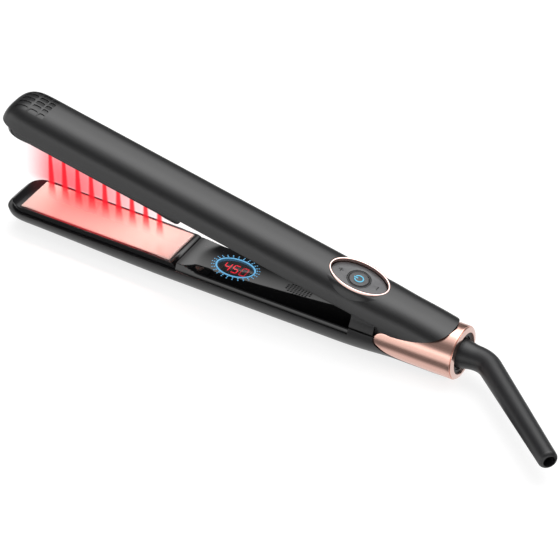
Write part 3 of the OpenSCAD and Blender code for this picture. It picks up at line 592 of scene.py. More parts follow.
def joined(name, parts):
    """Several pieces made one."""
    bm = bmesh.new()
    for part in parts:
        bm.from_mesh(part.data)
        bpy.data.objects.remove(part)
    mesh = bpy.data.meshes.new(name)
    bm.to_mesh(mesh)
    bm.free()
    obj = bpy.data.objects.new(name, mesh)
    bpy.context.scene.collection.objects.link(obj)
    return obj


rows = [grown("Dots", tree, {"Half length": 12.15 + 1.2 * i, "Half width": 8.15 + 1.15 * i,
                             "Dot": 0.4 - 0.06 * i}) for i in range(2)]
ticks = joined("Display_ticks", rows)
ticks.data.transform(Matrix.Translation((DISPLAY_X, 0, -1.0)))
settle(ticks, LOWER, "lower_arm", blue_light, "blue_light", "tick_lights")

# smoked acrylic: a grey tint that the digits glow through, under a sharp reflection
smoked, tree = blank("Smoked_acrylic")
place = add(tree, "ShaderNodeTexCoord")
cloud = add(tree, "ShaderNodeTexNoise", values={"Scale": 120, "Detail": 2},
            links={"Vector": place.outputs["Object"]})
tint = add(tree, "ShaderNodeMix", {"data_type": "RGBA"}, {"A": linear("#323235"), "B": linear("#3a3a3e")},
           {"Factor": cloud.outputs["Fac"]})
gloss = add(tree, "ShaderNodeBsdfPrincipled", values={"Roughness": 0.15, "IOR": 1.49, "Alpha": 0.6},
            links={"Base Color": tint.outputs["Result"]})
add(tree, "ShaderNodeOutputMaterial", links={"Surface": gloss.outputs["BSDF"]})
lens = oval_piece("Display_lens", 10.4, 6.4, [(0, -1.1), (0, -0.12), (0.12, 0), (6.3, 0.02)], DISPLAY_X,
                  lift=crown, closed=False)
settle(lens, LOWER, "lower_arm", smoked, "smoked_lens", "display_lens", sharp=60)
# lit numerals: a strong pure red, soft at the edge behind the lens
red_light = lit("Red_numerals", "#e01c30", 3.4)
paint(red_light, "display_digits")

# Boards
# Fibreglass circuit boards with green solder mask. They lie under the display, over the lamps and under
# the buttons.

# solder mask: a thin green lacquer, smooth and half glossy
mask = moulded("Green_solder_mask", "#1f5a3a", 0.3, 2, 0.003)
paint(mask, "display_board", "led_board", "control_board")

# Hinge
# A hood of black nylon closes the lower arm behind the panel. Inside it a bracket of the same nylon carries
# the steel pin and the seat of the coil spring that opens the arms.

# glass-filled nylon: dull black, dry and slightly rough
nylon = moulded("Black_glass_filled_nylon", "#0d0d0f", 0.45, 0.5, 0.01)
settle(dressed("hinge_hood", "Hinge_hood", LOWER, 0.3), LOWER, "lower_arm", nylon, "charcoal_casing",
       "hinge_hood")
paint(nylon, "hinge_bracket", "swivel_cup", "button_guide")
paint(zinc, "hinge_pin")
settle(dressed("upper_cover", "Upper_cover", UPPER, 0.2), UPPER, "upper_arm", nylon,
       "inner_black", "upper_cover")

# Spring
# A compression coil of music wire that pushes the arms apart and shortens as they close. It stands on the
# bracket and is drawn at one length, riding with the lower arm.

# drawn music wire: a grey metal with a soft streak of light along each turn
music_wire = moulded("Music_wire", "#8f8f8c", 0.25, 0.6, 0.003, Metallic=1.0)
SPRING_X, FOOT, HEAD = HINGE_X - 15, -13.2, 5.2
tree, given, out = tree_of("Coil_spring", {"Turns": 6.0, "Radius": 3.4, "Wire": 0.45,
                                           "Height": HEAD - FOOT - 0.9})
path = add(tree, "GeometryNodeCurveSpiral", values={"Resolution": 40},
           links={"Rotations": given.outputs["Turns"], "Start Radius": given.outputs["Radius"],
                  "End Radius": given.outputs["Radius"], "Height": given.outputs["Height"]})
wire = add(tree, "GeometryNodeCurvePrimitiveCircle", {"mode": "RADIUS"}, {"Resolution": 14},
           {"Radius": given.outputs["Wire"]})
coil = add(tree, "GeometryNodeCurveToMesh", values={"Fill Caps": True},
           links={"Curve": path.outputs["Curve"], "Profile Curve": wire.outputs["Curve"]})
real = add(tree, "GeometryNodeRealizeInstances", links={"Geometry": coil.outputs["Mesh"]})
done = add(tree, "GeometryNodeSetMaterial", values={"Material": music_wire},
           links={"Geometry": real.outputs["Geometry"]})
tree.links.new(done.outputs["Geometry"], out.inputs["Geometry"])
spring = grown("Arm_spring", tree, {})
spring.data.transform(Matrix.Translation((SPRING_X, 0, FOOT + 0.45)))
settle(spring, LOWER, "lower_arm", music_wire, "spring_steel", "arm_spring", sharp=50)
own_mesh(spring)

# Collar
# A die-cast collar, plated rose gold over a satin finish. Two ears with round ends reach along the arm and
# sweep up into the ring that carries the cord.


def plated(name, colour, rough, **extra):
    """A plated metal with a satin grain drawn along the arm. The real grain is a few hundredths of a
    millimetre across and is drawn at 0.7 mm, so that it shows."""
    mat, tree = blank(name)
    place = add(tree, "ShaderNodeTexCoord")
    stretch = add(tree, "ShaderNodeMapping", values={"Scale": (90, 1400, 1400)},
                  links={"Vector": place.outputs["Object"]})
    grain = add(tree, "ShaderNodeTexNoise", values={"Scale": 1.0, "Detail": 3},
                links={"Vector": stretch.outputs["Vector"]})
    base = linear(colour)
    dim = [c * 0.94 for c in base[:3]] + [1]
    tint = add(tree, "ShaderNodeMix", {"data_type": "RGBA"}, {"A": dim, "B": base},
               {"Factor": grain.outputs["Fac"]})
    gloss = add(tree, "ShaderNodeMapRange", values={"To Min": rough * 0.8, "To Max": rough * 1.2},
                links={"Value": grain.outputs["Fac"]})
    bump = add(tree, "ShaderNodeBump", values={"Strength": 0.3, "Distance": 4e-6},
               links={"Height": grain.outputs["Fac"]})
    shader = add(tree, "ShaderNodeBsdfPrincipled", values={"Metallic": 1.0, **extra},
                 links={"Base Color": tint.outputs["Result"], "Roughness": gloss.outputs["Result"],
                        "Normal": bump.outputs["Normal"]})
    add(tree, "ShaderNodeOutputMaterial", links={"Surface": shader.outputs["BSDF"]})
    return mat


COLLAR_END, INNER_R = 256.2, 12.42
# satin plating: a warm pink metal that spreads each reflection into a soft band
rose_gold = plated("Satin_rose_gold_plating", "#eebfb1", 0.24)


def collar_ring(g, r, part=0.0, rear=COLLAR_END):
    """One closed row of the collar: its outline grown by g at radius r, drawn back by a share to the rear."""
    side = []
    for x, z in collar_edge(g):
        side.append((x + (rear - x) * part, math.asin(max(-1, min(1, (z - HINGE_Z) / COLLAR_R)))))
    side[0] = (side[0][0], -math.pi / 2)
    side[-1] = (side[-1][0], math.pi / 2)
    loop = side + [(x, math.pi - a) for x, a in side[-2:0:-1]]
    return [(x, r * math.cos(a), HINGE_Z + r * math.sin(a)) for x, a in loop]


front = [(-0.3, INNER_R), (-0.05, INNER_R + 0.25), (0.0, INNER_R + 0.6), (0.0, 13.9), (-0.06, 14.06),
         (-0.16, 14.16), (-0.3, COLLAR_R)]
rows = [collar_ring(g, r) for g, r in front]
rows += [collar_ring(-0.3, COLLAR_R, k / 24, COLLAR_END - 0.35) for k in range(1, 25)]
rows += [collar_ring(-0.3, COLLAR_R - 0.1, 1, COLLAR_END - 0.1), collar_ring(-0.3, COLLAR_R - 0.35, 1),
         collar_ring(-0.3, INNER_R, 1)]
rows += [collar_ring(-0.3, INNER_R, k / 6) for k in range(5, 0, -1)] + [rows[0]]
settle(loft("Collar", rows), LOWER, "lower_arm", rose_gold, "rose_gold", "collar", sharp=40)

# End ring
# A turned ring in the same plating, polished brighter, that closes the collar round the cord's swivel.


def turned(name, profile, count=128):
    """A solid turned round the collar's axis from points of x and radius."""
    rows = [[(x, r * math.cos(2 * math.pi * k / count), HINGE_Z + r * math.sin(2 * math.pi * k / count))
             for k in range(count)] for x, r in profile]
    return loft(name, rows + rows[:1])


def lip(x, r, size, start, steps=6):
    """A rounded corner of a turned profile: a quarter of a circle from its start angle."""
    return [(x + size * math.cos(math.radians(start + 90 * k / steps)),
             r + size * math.sin(math.radians(start + 90 * k / steps))) for k in range(steps + 1)]


RING_END, MOUTH_R = 257.5, 11.0
# brightened plating: the same pink metal with a narrower, clearer shine
bright_rose = plated("Bright_rose_gold_plating", "#eccbc1", 0.14)
profile = [(COLLAR_END - 2.8, MOUTH_R), (COLLAR_END - 2.8, INNER_R - 0.04),
           (COLLAR_END + 0.2, INNER_R - 0.04), (COLLAR_END + 0.2, 13.4), (COLLAR_END + 0.32, 13.6)]
profile += lip(RING_END - 0.8, 12.88, 0.8, 90)[::-1] + lip(RING_END - 0.35, MOUTH_R + 0.35, 0.35, -90)[::-1]
settle(turned("End_ring", profile), LOWER, "lower_arm", bright_rose, "rose_gold", "end_ring", sharp=35)

# Cord swivel and boot
# A nylon disc turns in its cup behind the ring. The bend guard moulded to it is satin black PVC: it leaves
# the ring, bends once to the side, narrows to its rounded end and grips the cord in its bore.

CUP_FRONT = COLLAR_END - 8.6
settle(dressed("swivel_disc", "Swivel_disc", LOWER, 0.15), LOWER, "cord_swivel", nylon, "boot_rubber",
       "swivel_disc")
BEND, BEND_R, STRAIGHT, TIP_ROUND = math.radians(40.5), 15.0, 73.0, 2.4
ROOT_R, NECK_R, LEG_R, END_R, BORE = 8.1, 6.4, 6.12, 5.0, 3.1
root = RING_END - 1.8
start = root + 8.7
corner = (start + BEND_R * math.sin(BEND), BEND_R * math.cos(BEND) - BEND_R)


def boot_ring(x, y, heading, r, count=72):
    """A ring of points round a place on the boot's line, square to its heading."""
    return [(x + r * math.cos(2 * math.pi * k / count) * math.sin(heading),
             y + r * math.cos(2 * math.pi * k / count) * math.cos(heading),
             HINGE_Z + r * math.sin(2 * math.pi * k / count)) for k in range(count)]


def boot_run(along, r):
    """A ring on the boot's straight part, so far along from the end of the bend."""
    return boot_ring(corner[0] + along * math.cos(BEND), corner[1] - along * math.sin(BEND), BEND, r)


rings = [boot_ring(CUP_FRONT + 3, 0, 0, 4.3), boot_ring(CUP_FRONT + 3.2, 0, 0, 4.5),
         boot_ring(root - 0.05, 0, 0, 4.5)]
rings += [boot_ring(root, 0, 0, ROOT_R - 0.4), boot_ring(root + 0.1, 0, 0, ROOT_R - 0.12),
          boot_ring(root + 0.4, 0, 0, ROOT_R)]
for k in range(1, 13):
    slimmed = (ROOT_R - NECK_R) * ease(k / 13, -0.3, 1.05)
    rings.append(boot_ring(root + 0.4 + 8.3 * k / 13, 0, 0, ROOT_R - slimmed))
for k in range(25):
    t = BEND * k / 24
    rings.append(boot_ring(start + BEND_R * math.sin(t), BEND_R * math.cos(t) - BEND_R, t,
                           NECK_R - (NECK_R - LEG_R) * k / 24))
rings += [boot_run((STRAIGHT - TIP_ROUND) * k / 24, LEG_R - (LEG_R - END_R) * k / 24) for k in range(1, 25)]
rings += [boot_run(STRAIGHT - TIP_ROUND + TIP_ROUND * math.sin(math.radians(a)),
                   END_R - TIP_ROUND + TIP_ROUND * math.cos(math.radians(a)))
          for a in (10, 20, 30, 40, 50, 60, 70, 77)]
rings += [boot_run(STRAIGHT - 0.12, BORE + 0.06), boot_run(STRAIGHT - 0.3, BORE),
          boot_run(STRAIGHT - 30, BORE)]
# soft PVC: a dark charcoal with a broad satin shine
satin_pvc = moulded("Satin_black_PVC", "#1c1c1e", 0.42, 0.5, 0.008, IOR=1.52)
settle(loft("Cord_boot", rings, capped=True), LOWER, "cord_swivel", satin_pvc, "boot_rubber", "cord_boot",
       sharp=50)

# Upper casing
# The second soft-touch moulding: a long barrel, rounder at its nose, with fifteen grip scales and the
# flared boss of the control pod. Its rear follows the collar with a hairline gap.

UPPER_RIM, POD_A, POD_B, POD_TOP = 4.9, 16.9, 10.9, 17.0
POD_SEAT = POD_TOP - 1.1


def upper_rim(x):
    """Height of the upper rim, which drops at the hinge."""
    return UPPER_RIM - 2.9 * unit((x - HINGE_X + 9) / 2)


def casing_top(x, y):
    """Height of the upper casing over a place in plan."""
    half, centre, depth, power = casing_values(x, 0, False)
    return centre + (depth - centre) * max(0.0, 1 - abs(y / half) ** power) ** (1 / power)


first = rim_start(False, UPPER_RIM)
stations = nose_stations(first, 20 - (first - UPPER_TIP), 40) + [5 + 3 * i for i in range(83)]
stations += [HINGE_X - 9, HINGE_X - 7]
upper_casing = shell("Upper_casing", sorted(set(stations)), False, upper_rim)
use(upper_casing, "BEVEL", width=0.3, segments=3, limit_method="ANGLE", angle_limit=math.radians(50))
for share in (0, 0.5, 1):
    c, s = math.cos(OPEN * share), math.sin(OPEN * share)
    edge = [(HINGE_X + (x - HINGE_X) * c - (z - HINGE_Z) * s, HINGE_Z + (x - HINGE_X) * s + (z - HINGE_Z) * c)
            for x, z in collar_edge(0.4) + [(270, 30), (270, -30), (RING_FRONT - 0.4, -30)]]
    cut(upper_casing, slab("Collar_swing", edge))
smooth_top = upper_casing.copy()
smooth_top.data = upper_casing.data.copy()
bpy.context.scene.collection.objects.link(smooth_top)
cut(upper_casing, oval_piece("Pod_well", POD_A - 0.55, POD_B - 0.55, [(0, 8), (0, 30)], POD_X, closed=False))
cut(upper_casing, oval_piece("Pod_seat", POD_A + 0.03, POD_B + 0.03, [(0, POD_SEAT), (0, 30)], POD_X,
                             closed=False))


def boss_row(grow, z=None, share=0.0, sink=0.0, count=160):
    """A row round the pod's boss, between the seat of the bezel and the casing under it."""
    row = []
    for k in range(count):
        t = 2 * math.pi * k / count
        x, y = POD_X + (POD_A + grow) * math.cos(t), (POD_B + grow) * math.sin(t)
        row.append((x, y, z if z is not None else POD_SEAT + (casing_top(x, y) - POD_SEAT) * share - sink))
    return row


rows = [boss_row(-0.55, 10.8), boss_row(-0.55, POD_SEAT), boss_row(-0.05, POD_SEAT)]
for k in range(15):
    s = k / 14
    rows.append(boss_row(0.03 + 1.9 * s + 0.2 * s ** 10, share=s))
rows += [boss_row(2.1, share=1, sink=0.25), boss_row(0.6, share=1, sink=1.2), boss_row(-0.5, 10.8),
         boss_row(-0.55, 10.8)]
boss = loft("Pod_boss", rows)

# the scales: a scoop drawn in three columns by five rows, steep at its far edge and running out toward
# the near side, draped over the nose and cut into it
for centre, reach in ((-7.15, 3.65), (0.0, 2.5), (5.05, 1.75)):
    tree, given, out = tree_of("Grip_scales", {"Rows": 5, "Pitch": 3.5, "Half length": reach,
                                               "Half width": 1.62, "Depth": 0.48, "Centre": centre,
                                               "Casing": None})
    line = add(tree, "GeometryNodeMeshLine", links={"Count": given.outputs["Rows"]})
    index = add(tree, "GeometryNodeInputIndex")
    middle = add(tree, "ShaderNodeMath", {"operation": "SUBTRACT"}, {1: 2.2}, {0: index.outputs[0]})
    across_at = add(tree, "ShaderNodeMath", {"operation": "MULTIPLY"},
                    links={0: middle.outputs[0], 1: given.outputs["Pitch"]})
    at = add(tree, "ShaderNodeCombineXYZ", links={"X": given.outputs["Centre"], "Y": across_at.outputs[0]})
    spots = add(tree, "GeometryNodeSetPosition", links={"Geometry": line.outputs["Mesh"],
                                                        "Position": at.outputs[0]})
    block = add(tree, "GeometryNodeMeshCube", values={"Size": (2, 2, 2), "Vertices X": 25, "Vertices Y": 17,
                                                      "Vertices Z": 2})
    where = add(tree, "GeometryNodeInputPosition")
    axes = add(tree, "ShaderNodeSeparateXYZ", links={"Vector": where.outputs[0]})
    rounding = []
    for a, b in (("X", "Y"), ("Y", "X")):
        other = add(tree, "ShaderNodeMath", {"operation": "MULTIPLY"},
                    links={0: axes.outputs[b], 1: axes.outputs[b]})
        scaled = add(tree, "ShaderNodeMath", {"operation": "MULTIPLY_ADD"},
                     {1: -0.32 if a == "X" else -0.3, 2: 1.0}, {0: other.outputs[0]})
        root_of = add(tree, "ShaderNodeMath", {"operation": "SQRT"}, links={0: scaled.outputs[0]})
        rounding.append(add(tree, "ShaderNodeMath", {"operation": "MULTIPLY"},
                            links={0: axes.outputs[a], 1: root_of.outputs[0]}))
    share = add(tree, "ShaderNodeMath", {"operation": "MULTIPLY_ADD"}, {1: 0.5, 2: 0.5},
                {0: axes.outputs["Y"]})
    fall = add(tree, "ShaderNodeMath", {"operation": "POWER"}, {1: 1.1}, {0: share.outputs[0]})
    deep = add(tree, "ShaderNodeMath", {"operation": "MULTIPLY"},
               links={0: fall.outputs[0], 1: given.outputs["Depth"]})
    low = add(tree, "ShaderNodeMath", {"operation": "SUBTRACT"}, {0: 0.05}, {1: deep.outputs[0]})
    over = add(tree, "ShaderNodeMath", {"operation": "GREATER_THAN"}, {1: 0.0}, {0: axes.outputs["Z"]})
    level = add(tree, "ShaderNodeMix", {"data_type": "FLOAT"}, {"B": 1.2},
                {"Factor": over.outputs[0], "A": low.outputs[0]})
    shaped = add(tree, "ShaderNodeCombineXYZ", links={"X": rounding[0].outputs[0],
                                                      "Y": rounding[1].outputs[0],
                                                      "Z": level.outputs["Result"]})
    tile = add(tree, "GeometryNodeSetPosition", links={"Geometry": block.outputs["Mesh"],
                                                       "Position": shaped.outputs[0]})
    size_of = add(tree, "ShaderNodeCombineXYZ", {}, {"Z": 1.0}, {"X": given.outputs["Half length"],
                                                                 "Y": given.outputs["Half width"]})
    set_out = add(tree, "GeometryNodeInstanceOnPoints", links={"Points": spots.outputs["Geometry"],
                                                               "Instance": tile.outputs["Geometry"],
                                                               "Scale": size_of.outputs[0]})
    real = add(tree, "GeometryNodeRealizeInstances", links={"Geometry": set_out.outputs["Instances"]})
    where = add(tree, "GeometryNodeInputPosition")
    axes = add(tree, "ShaderNodeSeparateXYZ", links={"Vector": where.outputs[0]})
    above = add(tree, "ShaderNodeCombineXYZ", {}, {"Z": 60.0},
                {"X": axes.outputs["X"], "Y": axes.outputs["Y"]})
    casing_of = add(tree, "GeometryNodeObjectInfo", links={"Object": given.outputs["Casing"]})
    ray = add(tree, "GeometryNodeRaycast", values={"Ray Direction": (0, 0, -1), "Ray Length": 100.0},
              links={"Target Geometry": casing_of.outputs["Geometry"], "Source Position": above.outputs[0]})
    lift = add(tree, "ShaderNodeCombineXYZ", links={"Z": axes.outputs["Z"]})
    final = add(tree, "ShaderNodeVectorMath", {"operation": "ADD"},
                links={0: ray.outputs["Hit Position"], 1: lift.outputs[0]})
    draped = add(tree, "GeometryNodeSetPosition", links={"Geometry": real.outputs["Geometry"],
                                                         "Position": final.outputs[0]})
    done = add(tree, "GeometryNodeSetMaterial", values={"Material": soft_touch},
               links={"Geometry": draped.outputs["Geometry"]})
    tree.links.new(done.outputs["Geometry"], out.inputs["Geometry"])
    cut(upper_casing, grown("Scoops", tree, {"Half length": reach, "Centre": centre, "Casing": smooth_top}))
bpy.data.objects.remove(smooth_top)
upper_casing = joined("Upper_casing", [upper_casing, boss])
settle(upper_casing, UPPER, "upper_arm", soft_touch, "charcoal_casing", "upper_shell")

# Control pod
# A plated oval bezel stands in the boss. In it lie the rocker for the temperature, moulded in satin grey,
# and the round power button in its moat, with a lit symbol.

# polished plating: a warm pink mirror
mirror_rose = plated("Mirror_rose_gold_plating", "#f0cdc4", 0.06)
bezel = oval_piece("Pod_bezel", POD_A, POD_B, [(0, 15.92), (0, 16.6), (0.08, 16.85), (0.25, 16.97),
                                               (0.57, 17.0), (0.9, 16.97), (1.07, 16.85), (1.15, 16.6),
                                               (1.17, 16), (1.17, 12.6), (0.57, 12.6), (0.57, 15.92)],
                   POD_X, count=160)
settle(bezel, UPPER, "upper_arm", mirror_rose, "rose_gold", "pod_ring", sharp=35)
# moulded ABS: a mid grey with a soft even sheen
satin_grey = moulded("Satin_grey_ABS", "#565658", 0.34, 0.5, 0.008, IOR=1.48)
rocker = dressed("temperature_rocker", "Temperature_rocker", UPPER, 0.12)
raised = [face.index for face in rocker.data.polygons if face.center.z > POD_TOP - 2.2 + 0.03]
settle(rocker, UPPER, "temperature_rocker", satin_grey, "control_grey", "temperature_rocker")
rocker.data.materials.append(moulded("Printed_black_ink", "#101012", 0.5, 0.4, 0.002))
for index in raised:
    rocker.data.polygons[index].material_index = 1
# moulded ABS: darker than the rocker and a little glossier
dark_satin = moulded("Satin_dark_ABS", "#3c3c3e", 0.3, 0.5, 0.006, IOR=1.48)
settle(dressed("power_button", "Power_button", UPPER, 0.12), UPPER, "power_button", dark_satin,
       "control_black", "power_button")
# a lit symbol: an even cyan glow
cyan_light = lit("Lit_power_symbol", "#4ab8dc", 0.95)
paint(cyan_light, "power_icon")

# Infrared lamps
# Nine lamps moulded in red epoxy with round heads. They stand in a row on one board and shine through
# holes in the upper plate.

LAMPS, LAMP_FRONT, LAMP_PITCH = 9, 8.7, 8.55
# lit epoxy: a red that burns almost to white
lamp_red = lit("Red_lamp_epoxy", "#ff5058", 2.5)
tree, given, out = tree_of("Lamp_row", {"Count": LAMPS, "Pitch": LAMP_PITCH, "Radius": 1.5, "Height": 4.4})
step = add(tree, "ShaderNodeCombineXYZ", links={"X": given.outputs["Pitch"]})
line = add(tree, "GeometryNodeMeshLine", links={"Count": given.outputs["Count"], "Offset": step.outputs[0]})
stem = add(tree, "GeometryNodeMeshCylinder", values={"Vertices": 32},
           links={"Radius": given.outputs["Radius"], "Depth": given.outputs["Height"]})
half = add(tree, "ShaderNodeMath", {"operation": "MULTIPLY"}, {1: 0.5}, {0: given.outputs["Height"]})
lift = add(tree, "ShaderNodeCombineXYZ", links={"Z": half.outputs[0]})
stood = add(tree, "GeometryNodeTransform", links={"Geometry": stem.outputs["Mesh"],
                                                  "Translation": lift.outputs[0]})
ball = add(tree, "GeometryNodeMeshUVSphere", values={"Segments": 32, "Rings": 16},
           links={"Radius": given.outputs["Radius"]})
both = add(tree, "GeometryNodeJoinGeometry")
tree.links.new(stood.outputs["Geometry"], both.inputs[0])
tree.links.new(ball.outputs["Mesh"], both.inputs[0])
row = add(tree, "GeometryNodeInstanceOnPoints", links={"Points": line.outputs["Mesh"],
                                                       "Instance": both.outputs["Geometry"]})
real = add(tree, "GeometryNodeRealizeInstances", links={"Geometry": row.outputs["Instances"]})
done = add(tree, "GeometryNodeSetMaterial", values={"Material": lamp_red},
           links={"Geometry": real.outputs["Geometry"]})
tree.links.new(done.outputs["Geometry"], out.inputs["Geometry"])
lamps = grown("Infrared_lamps", tree, {})
lamps.data.transform(Matrix.Translation((LAMP_FRONT, 0, 2.9)))
settle(lamps, UPPER, "upper_arm", lamp_red, "infrared_lamp", "infrared_leds", sharp=50)

# Lamp light
# The lamps' red light as the picture shows it: a spot at each lamp, thin sheets of painted light for the nine
# beams and the haze behind them, and a red pool of light painted on the plate. It is light, not a piece, and
# shuts with the arms.


def shone(name, colour, build):
    """Painted light in one colour, as glowing air or a pool; build gives how much of what lies behind it that
    covers.
    """
    mat, tree = blank(name)
    place = add(tree, "ShaderNodeTexCoord")
    axes = add(tree, "ShaderNodeSeparateXYZ", links={"Vector": place.outputs["Object"]})
    strength = build(tree, axes)
    clear = add(tree, "ShaderNodeBsdfTransparent", values={"Color": (1, 1, 1, 1)})
    shine = add(tree, "ShaderNodeEmission", values={"Color": linear(colour), "Strength": 1.0})
    mixed = add(tree, "ShaderNodeMixShader", links={0: strength, 1: clear.outputs[0], 2: shine.outputs[0]})
    add(tree, "ShaderNodeOutputMaterial", links={"Surface": mixed.outputs[0]})
    return mat


def faded(tree, *steps):
    """The product of smooth steps: each has its input, where it starts and ends, and its value at both."""
    product = None
    for value, start, end, at_start, at_end in steps:
        step = add(tree, "ShaderNodeMapRange", {"interpolation_type": "SMOOTHSTEP"},
                   {"From Min": start, "From Max": end, "To Min": at_start, "To Max": at_end},
                   {"Value": value})
        if product is None:
            product = step.outputs["Result"]
        else:
            both = add(tree, "ShaderNodeMath", {"operation": "MULTIPLY"},
                       links={0: product, 1: step.outputs["Result"]})
            product = both.outputs[0]
    return product


def staged(name, corners, material, body="upper_arm"):
    """A sheet of the picture's light; one under the upper arm rides with it."""
    obj = make(name, corners, [(0, 1, 2, 3)], False)
    obj.data.materials.append(material)
    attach(obj, body)
    if body == "upper_arm":
        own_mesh(obj)
    for kind in ("diffuse", "shadow", "volume_scatter"):
        setattr(obj, "visible_" + kind, False)


PLATE_TOP = ORIGIN_Z / 1000
tips = [UPPER @ Vector((x, 0, 0.4)) for x in (-26, PLATE - 2)]
first_tip = UPPER @ Vector((LAMP_FRONT - 1.6, 0, 0.8))
pitch = LAMP_PITCH * math.cos(OPEN) / 1000
slope = (tips[1].z - tips[0].z) / (tips[1].x - tips[0].x)


def beam_strength(tree, axes):
    """Nine beams, each narrow at its lamp, wider and softer lower down, and fading out at the plate."""
    along = add(tree, "ShaderNodeMath", {"operation": "MULTIPLY_ADD"},
                {1: 1 / pitch, 2: -first_tip.x / pitch}, {0: axes.outputs["X"]})
    nearest = add(tree, "ShaderNodeMath", {"operation": "ROUND"}, links={0: along.outputs[0]})
    lamp = add(tree, "ShaderNodeClamp", values={"Min": 0.0, "Max": LAMPS - 1.0},
               links={"Value": nearest.outputs[0]})
    off = add(tree, "ShaderNodeMath", {"operation": "SUBTRACT"},
              links={0: along.outputs[0], 1: lamp.outputs[0]})
    off = add(tree, "ShaderNodeMath", {"operation": "ABSOLUTE"}, links={0: off.outputs[0]})
    tip = add(tree, "ShaderNodeMath", {"operation": "MULTIPLY_ADD"},
              {1: slope, 2: first_tip.z - slope * first_tip.x}, {0: axes.outputs["X"]})
    fallen = add(tree, "ShaderNodeMath", {"operation": "SUBTRACT"},
                 links={0: tip.outputs[0], 1: axes.outputs["Z"]})
    gap = add(tree, "ShaderNodeMath", {"operation": "SUBTRACT"}, {1: PLATE_TOP}, {0: tip.outputs[0]})
    share = add(tree, "ShaderNodeMath", {"operation": "DIVIDE"},
                links={0: fallen.outputs[0], 1: gap.outputs[0]})
    share = add(tree, "ShaderNodeClamp", values={"Min": 0.0, "Max": 1.0}, links={"Value": share.outputs[0]})
    spread = add(tree, "ShaderNodeMath", {"operation": "POWER"}, {1: 1.5}, {0: share.outputs[0]})
    half = add(tree, "ShaderNodeMath", {"operation": "MULTIPLY_ADD"},
               {1: 0.0021 / pitch, 2: 0.00095 / pitch}, {0: spread.outputs[0]})
    away = add(tree, "ShaderNodeMath", {"operation": "DIVIDE"}, links={0: off.outputs[0], 1: half.outputs[0]})
    return faded(tree, (away.outputs[0], 0.4, 1.25, 0.95, 0.0),
                 (axes.outputs["Z"], PLATE_TOP - 0.001, PLATE_TOP + 0.012, 0.0, 1.0))


def haze_strength(tree, axes):
    """The haze behind the beams: it fades past the first lamp, toward the hinge and below the plate."""
    front = (LAMP_FRONT - ORIGIN_X - 6.8) / 1000
    return faded(tree, (axes.outputs["X"], front - 0.022, front + 0.004, 0.0, 0.9),
                 (axes.outputs["X"], front + 0.01, front + 0.094, 1.0, 0.0),
                 (axes.outputs["Z"], PLATE_TOP - 0.007, PLATE_TOP + 0.001, 0.0, 1.0),
                 (axes.outputs["Z"], PLATE_TOP + 0.004, PLATE_TOP + 0.036, 1.0, 0.6))


def pool_strength(tree, axes):
    """The painted red light on the plate: deepest at the far edge, fading toward both ends and the near edge.
    """
    return faded(tree, (axes.outputs["X"], ends[0], ends[0] + 0.022, 0.0, 0.85),
                 (axes.outputs["X"], ends[0] + 0.03, ends[1] + 0.002, 1.0, 0.1),
                 (axes.outputs["Y"], -0.015, 0.012, 0.5, 1.0))


def upright(y, low, top):
    """Corners of a standing sheet that hangs under the row of lamps."""
    return [(tips[0].x, y, tips[0].z + top), (tips[1].x, y, tips[1].z + top), (tips[1].x, y, low),
            (tips[0].x, y, low)]


ends = ((0.6 - ORIGIN_X) / 1000, (PLATE - ORIGIN_X - 0.6) / 1000)
# painted light: a glowing red sheet for the haze behind the beams, tinting what lies behind it
staged("Red_haze", upright(0.0142, PLATE_TOP - 0.007, 0), shone("Red_haze_air", "#ff5c68", haze_strength))
# painted light: a glowing red sheet over the plate in place of the lamps' light falling on it
staged("Red_pool", [(x, y, PLATE_TOP + 0.0004) for x, y in ((ends[0], -0.0143), (ends[1], -0.0143),
                                                            (ends[1], 0.0119), (ends[0], 0.0119))],
       shone("Red_pool_light", "#ff4850", pool_strength), "lower_plate")
# painted light: a glowing red sheet for the nine beams under the lamps
staged("Red_beams", upright(0, PLATE_TOP + 0.0002, 0.0004), shone("Red_beam_air", "#ff2434", beam_strength))

for i in range(LAMPS):
    spot = bpy.data.lights.new("Lamp_%d" % i, "SPOT")
    spot.energy, spot.color = 0.011, (1.0, 0.62, 0.58)
    spot.spot_size, spot.spot_blend, spot.shadow_soft_size = 2.0, 1.0, 0.0012
    light = bpy.data.objects.new("Lamp_%d" % i, spot)
    light.location = UPPER @ Vector((LAMP_FRONT + LAMP_PITCH * i, 0, -0.3))
    bpy.context.scene.collection.objects.link(light)
    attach(light, "upper_arm")

# Last steps
# The picture's white paper floor, the studio's soft light and the camera. The floor shows white to the
# camera and keeps the shadow; reflections see it shaded, as a dark card lying near the product would.

# matt paper: an even white to the eye
stage_white, tree = blank("White_paper_floor")
rays = add(tree, "ShaderNodeLightPath")
place = add(tree, "ShaderNodeTexCoord")
axes = add(tree, "ShaderNodeSeparateXYZ", links={"Vector": place.outputs["Object"]})
paper = add(tree, "ShaderNodeBsdfDiffuse", values={"Color": (0.3, 0.3, 0.3, 1)})
glow = add(tree, "ShaderNodeEmission", values={"Color": (1, 1, 1, 1), "Strength": 0.8})
both = add(tree, "ShaderNodeAddShader", links={0: paper.outputs[0], 1: glow.outputs[0]})
far_out = faded(tree, (axes.outputs["Y"], -0.064, -0.04, 1.1, 0.18))
close_in = faded(tree, (axes.outputs["Y"], -0.026, -0.018, 0.0, 0.7), (axes.outputs["Y"], 0.06, 0.25, 1.0,
                                                                       0.1))
near = add(tree, "ShaderNodeMath", {"operation": "ADD"}, links={0: far_out, 1: close_in})
mirror = add(tree, "ShaderNodeEmission", values={"Color": (1, 1, 1, 1)}, links={"Strength": near.outputs[0]})
plain = add(tree, "ShaderNodeBsdfDiffuse", values={"Color": (0.8, 0.8, 0.8, 1)})
first = add(tree, "ShaderNodeMixShader", links={0: rays.outputs["Is Glossy Ray"], 1: plain.outputs[0],
                                                2: mirror.outputs[0]})
seen = add(tree, "ShaderNodeMath", {"operation": "MAXIMUM"}, links={0: rays.outputs["Is Camera Ray"],
                                                                    1: rays.outputs["Is Transmission Ray"]})
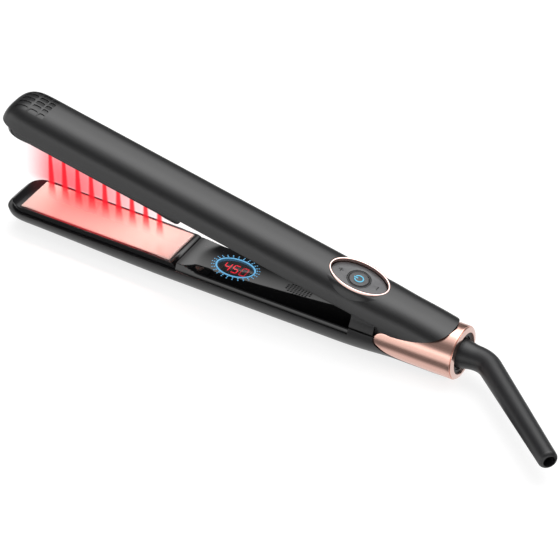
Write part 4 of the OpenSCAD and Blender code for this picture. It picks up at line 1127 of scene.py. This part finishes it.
pick = add(tree, "ShaderNodeMixShader", links={0: seen.outputs[0], 1: first.outputs[0], 2: both.outputs[0]})
add(tree, "ShaderNodeOutputMaterial", links={"Surface": pick.outputs[0]})
floor = make("Paper_floor", [(-6, -6, 0), (6, -6, 0), (6, 6, 0), (-6, 6, 0)], [(0, 1, 2, 3)], False)
floor.data.materials.append(stage_white)

world = bpy.data.worlds.new("Studio")
bpy.context.scene.world = world
world.use_nodes = True
tree = world.node_tree
tree.nodes.clear()
place = add(tree, "ShaderNodeTexCoord")
axes = add(tree, "ShaderNodeSeparateXYZ", links={"Vector": place.outputs["Generated"]})
toward = add(tree, "ShaderNodeVectorMath", {"operation": "DOT_PRODUCT"}, {1: (0, 0.45, 0.893)},
             {0: place.outputs["Generated"]})
core = faded(tree, (toward.outputs["Value"], 0.78, 0.99, 0.0, 2.5))
toward = add(tree, "ShaderNodeVectorMath", {"operation": "DOT_PRODUCT"}, {1: (0, 0.2, 0.98)},
             {0: place.outputs["Generated"]})
edge = faded(tree, (toward.outputs["Value"], 0.6, 0.98, 0.0, 1.2))
strip = faded(tree, (axes.outputs["Z"], 0.12, 0.36, 1.7, 0.0), (axes.outputs["Y"], -0.35, -0.1, 1.0, 0.0))
total = faded(tree, (axes.outputs["Y"], -0.2, 0.3, 0.2, 0.1))
for part in (core, edge, strip):
    total = add(tree, "ShaderNodeMath", {"operation": "ADD"}, links={0: total, 1: part}).outputs[0]
room = add(tree, "ShaderNodeBackground", values={"Color": (1, 1, 1, 1)}, links={"Strength": total})
add(tree, "ShaderNodeOutputWorld", links={"Surface": room.outputs[0]})

target = Vector((0.02693, 0, 0.01848))
az, el = math.radians(30.39), math.radians(38.25)
back = Vector((math.sin(az) * math.cos(el), -math.cos(az) * math.cos(el), math.sin(el)))
lens = bpy.data.cameras.new("Camera")
lens.sensor_width, lens.lens = 36, 2940 * 36 / 560
camera = bpy.data.objects.new("Camera", lens)
camera.location = target + 1.5 * back
camera.rotation_euler = back.to_track_quat("Z", "Y").to_euler()
bpy.context.scene.collection.objects.link(camera)
bpy.context.scene.camera = camera
bpy.context.scene.view_settings.view_transform = "Standard"
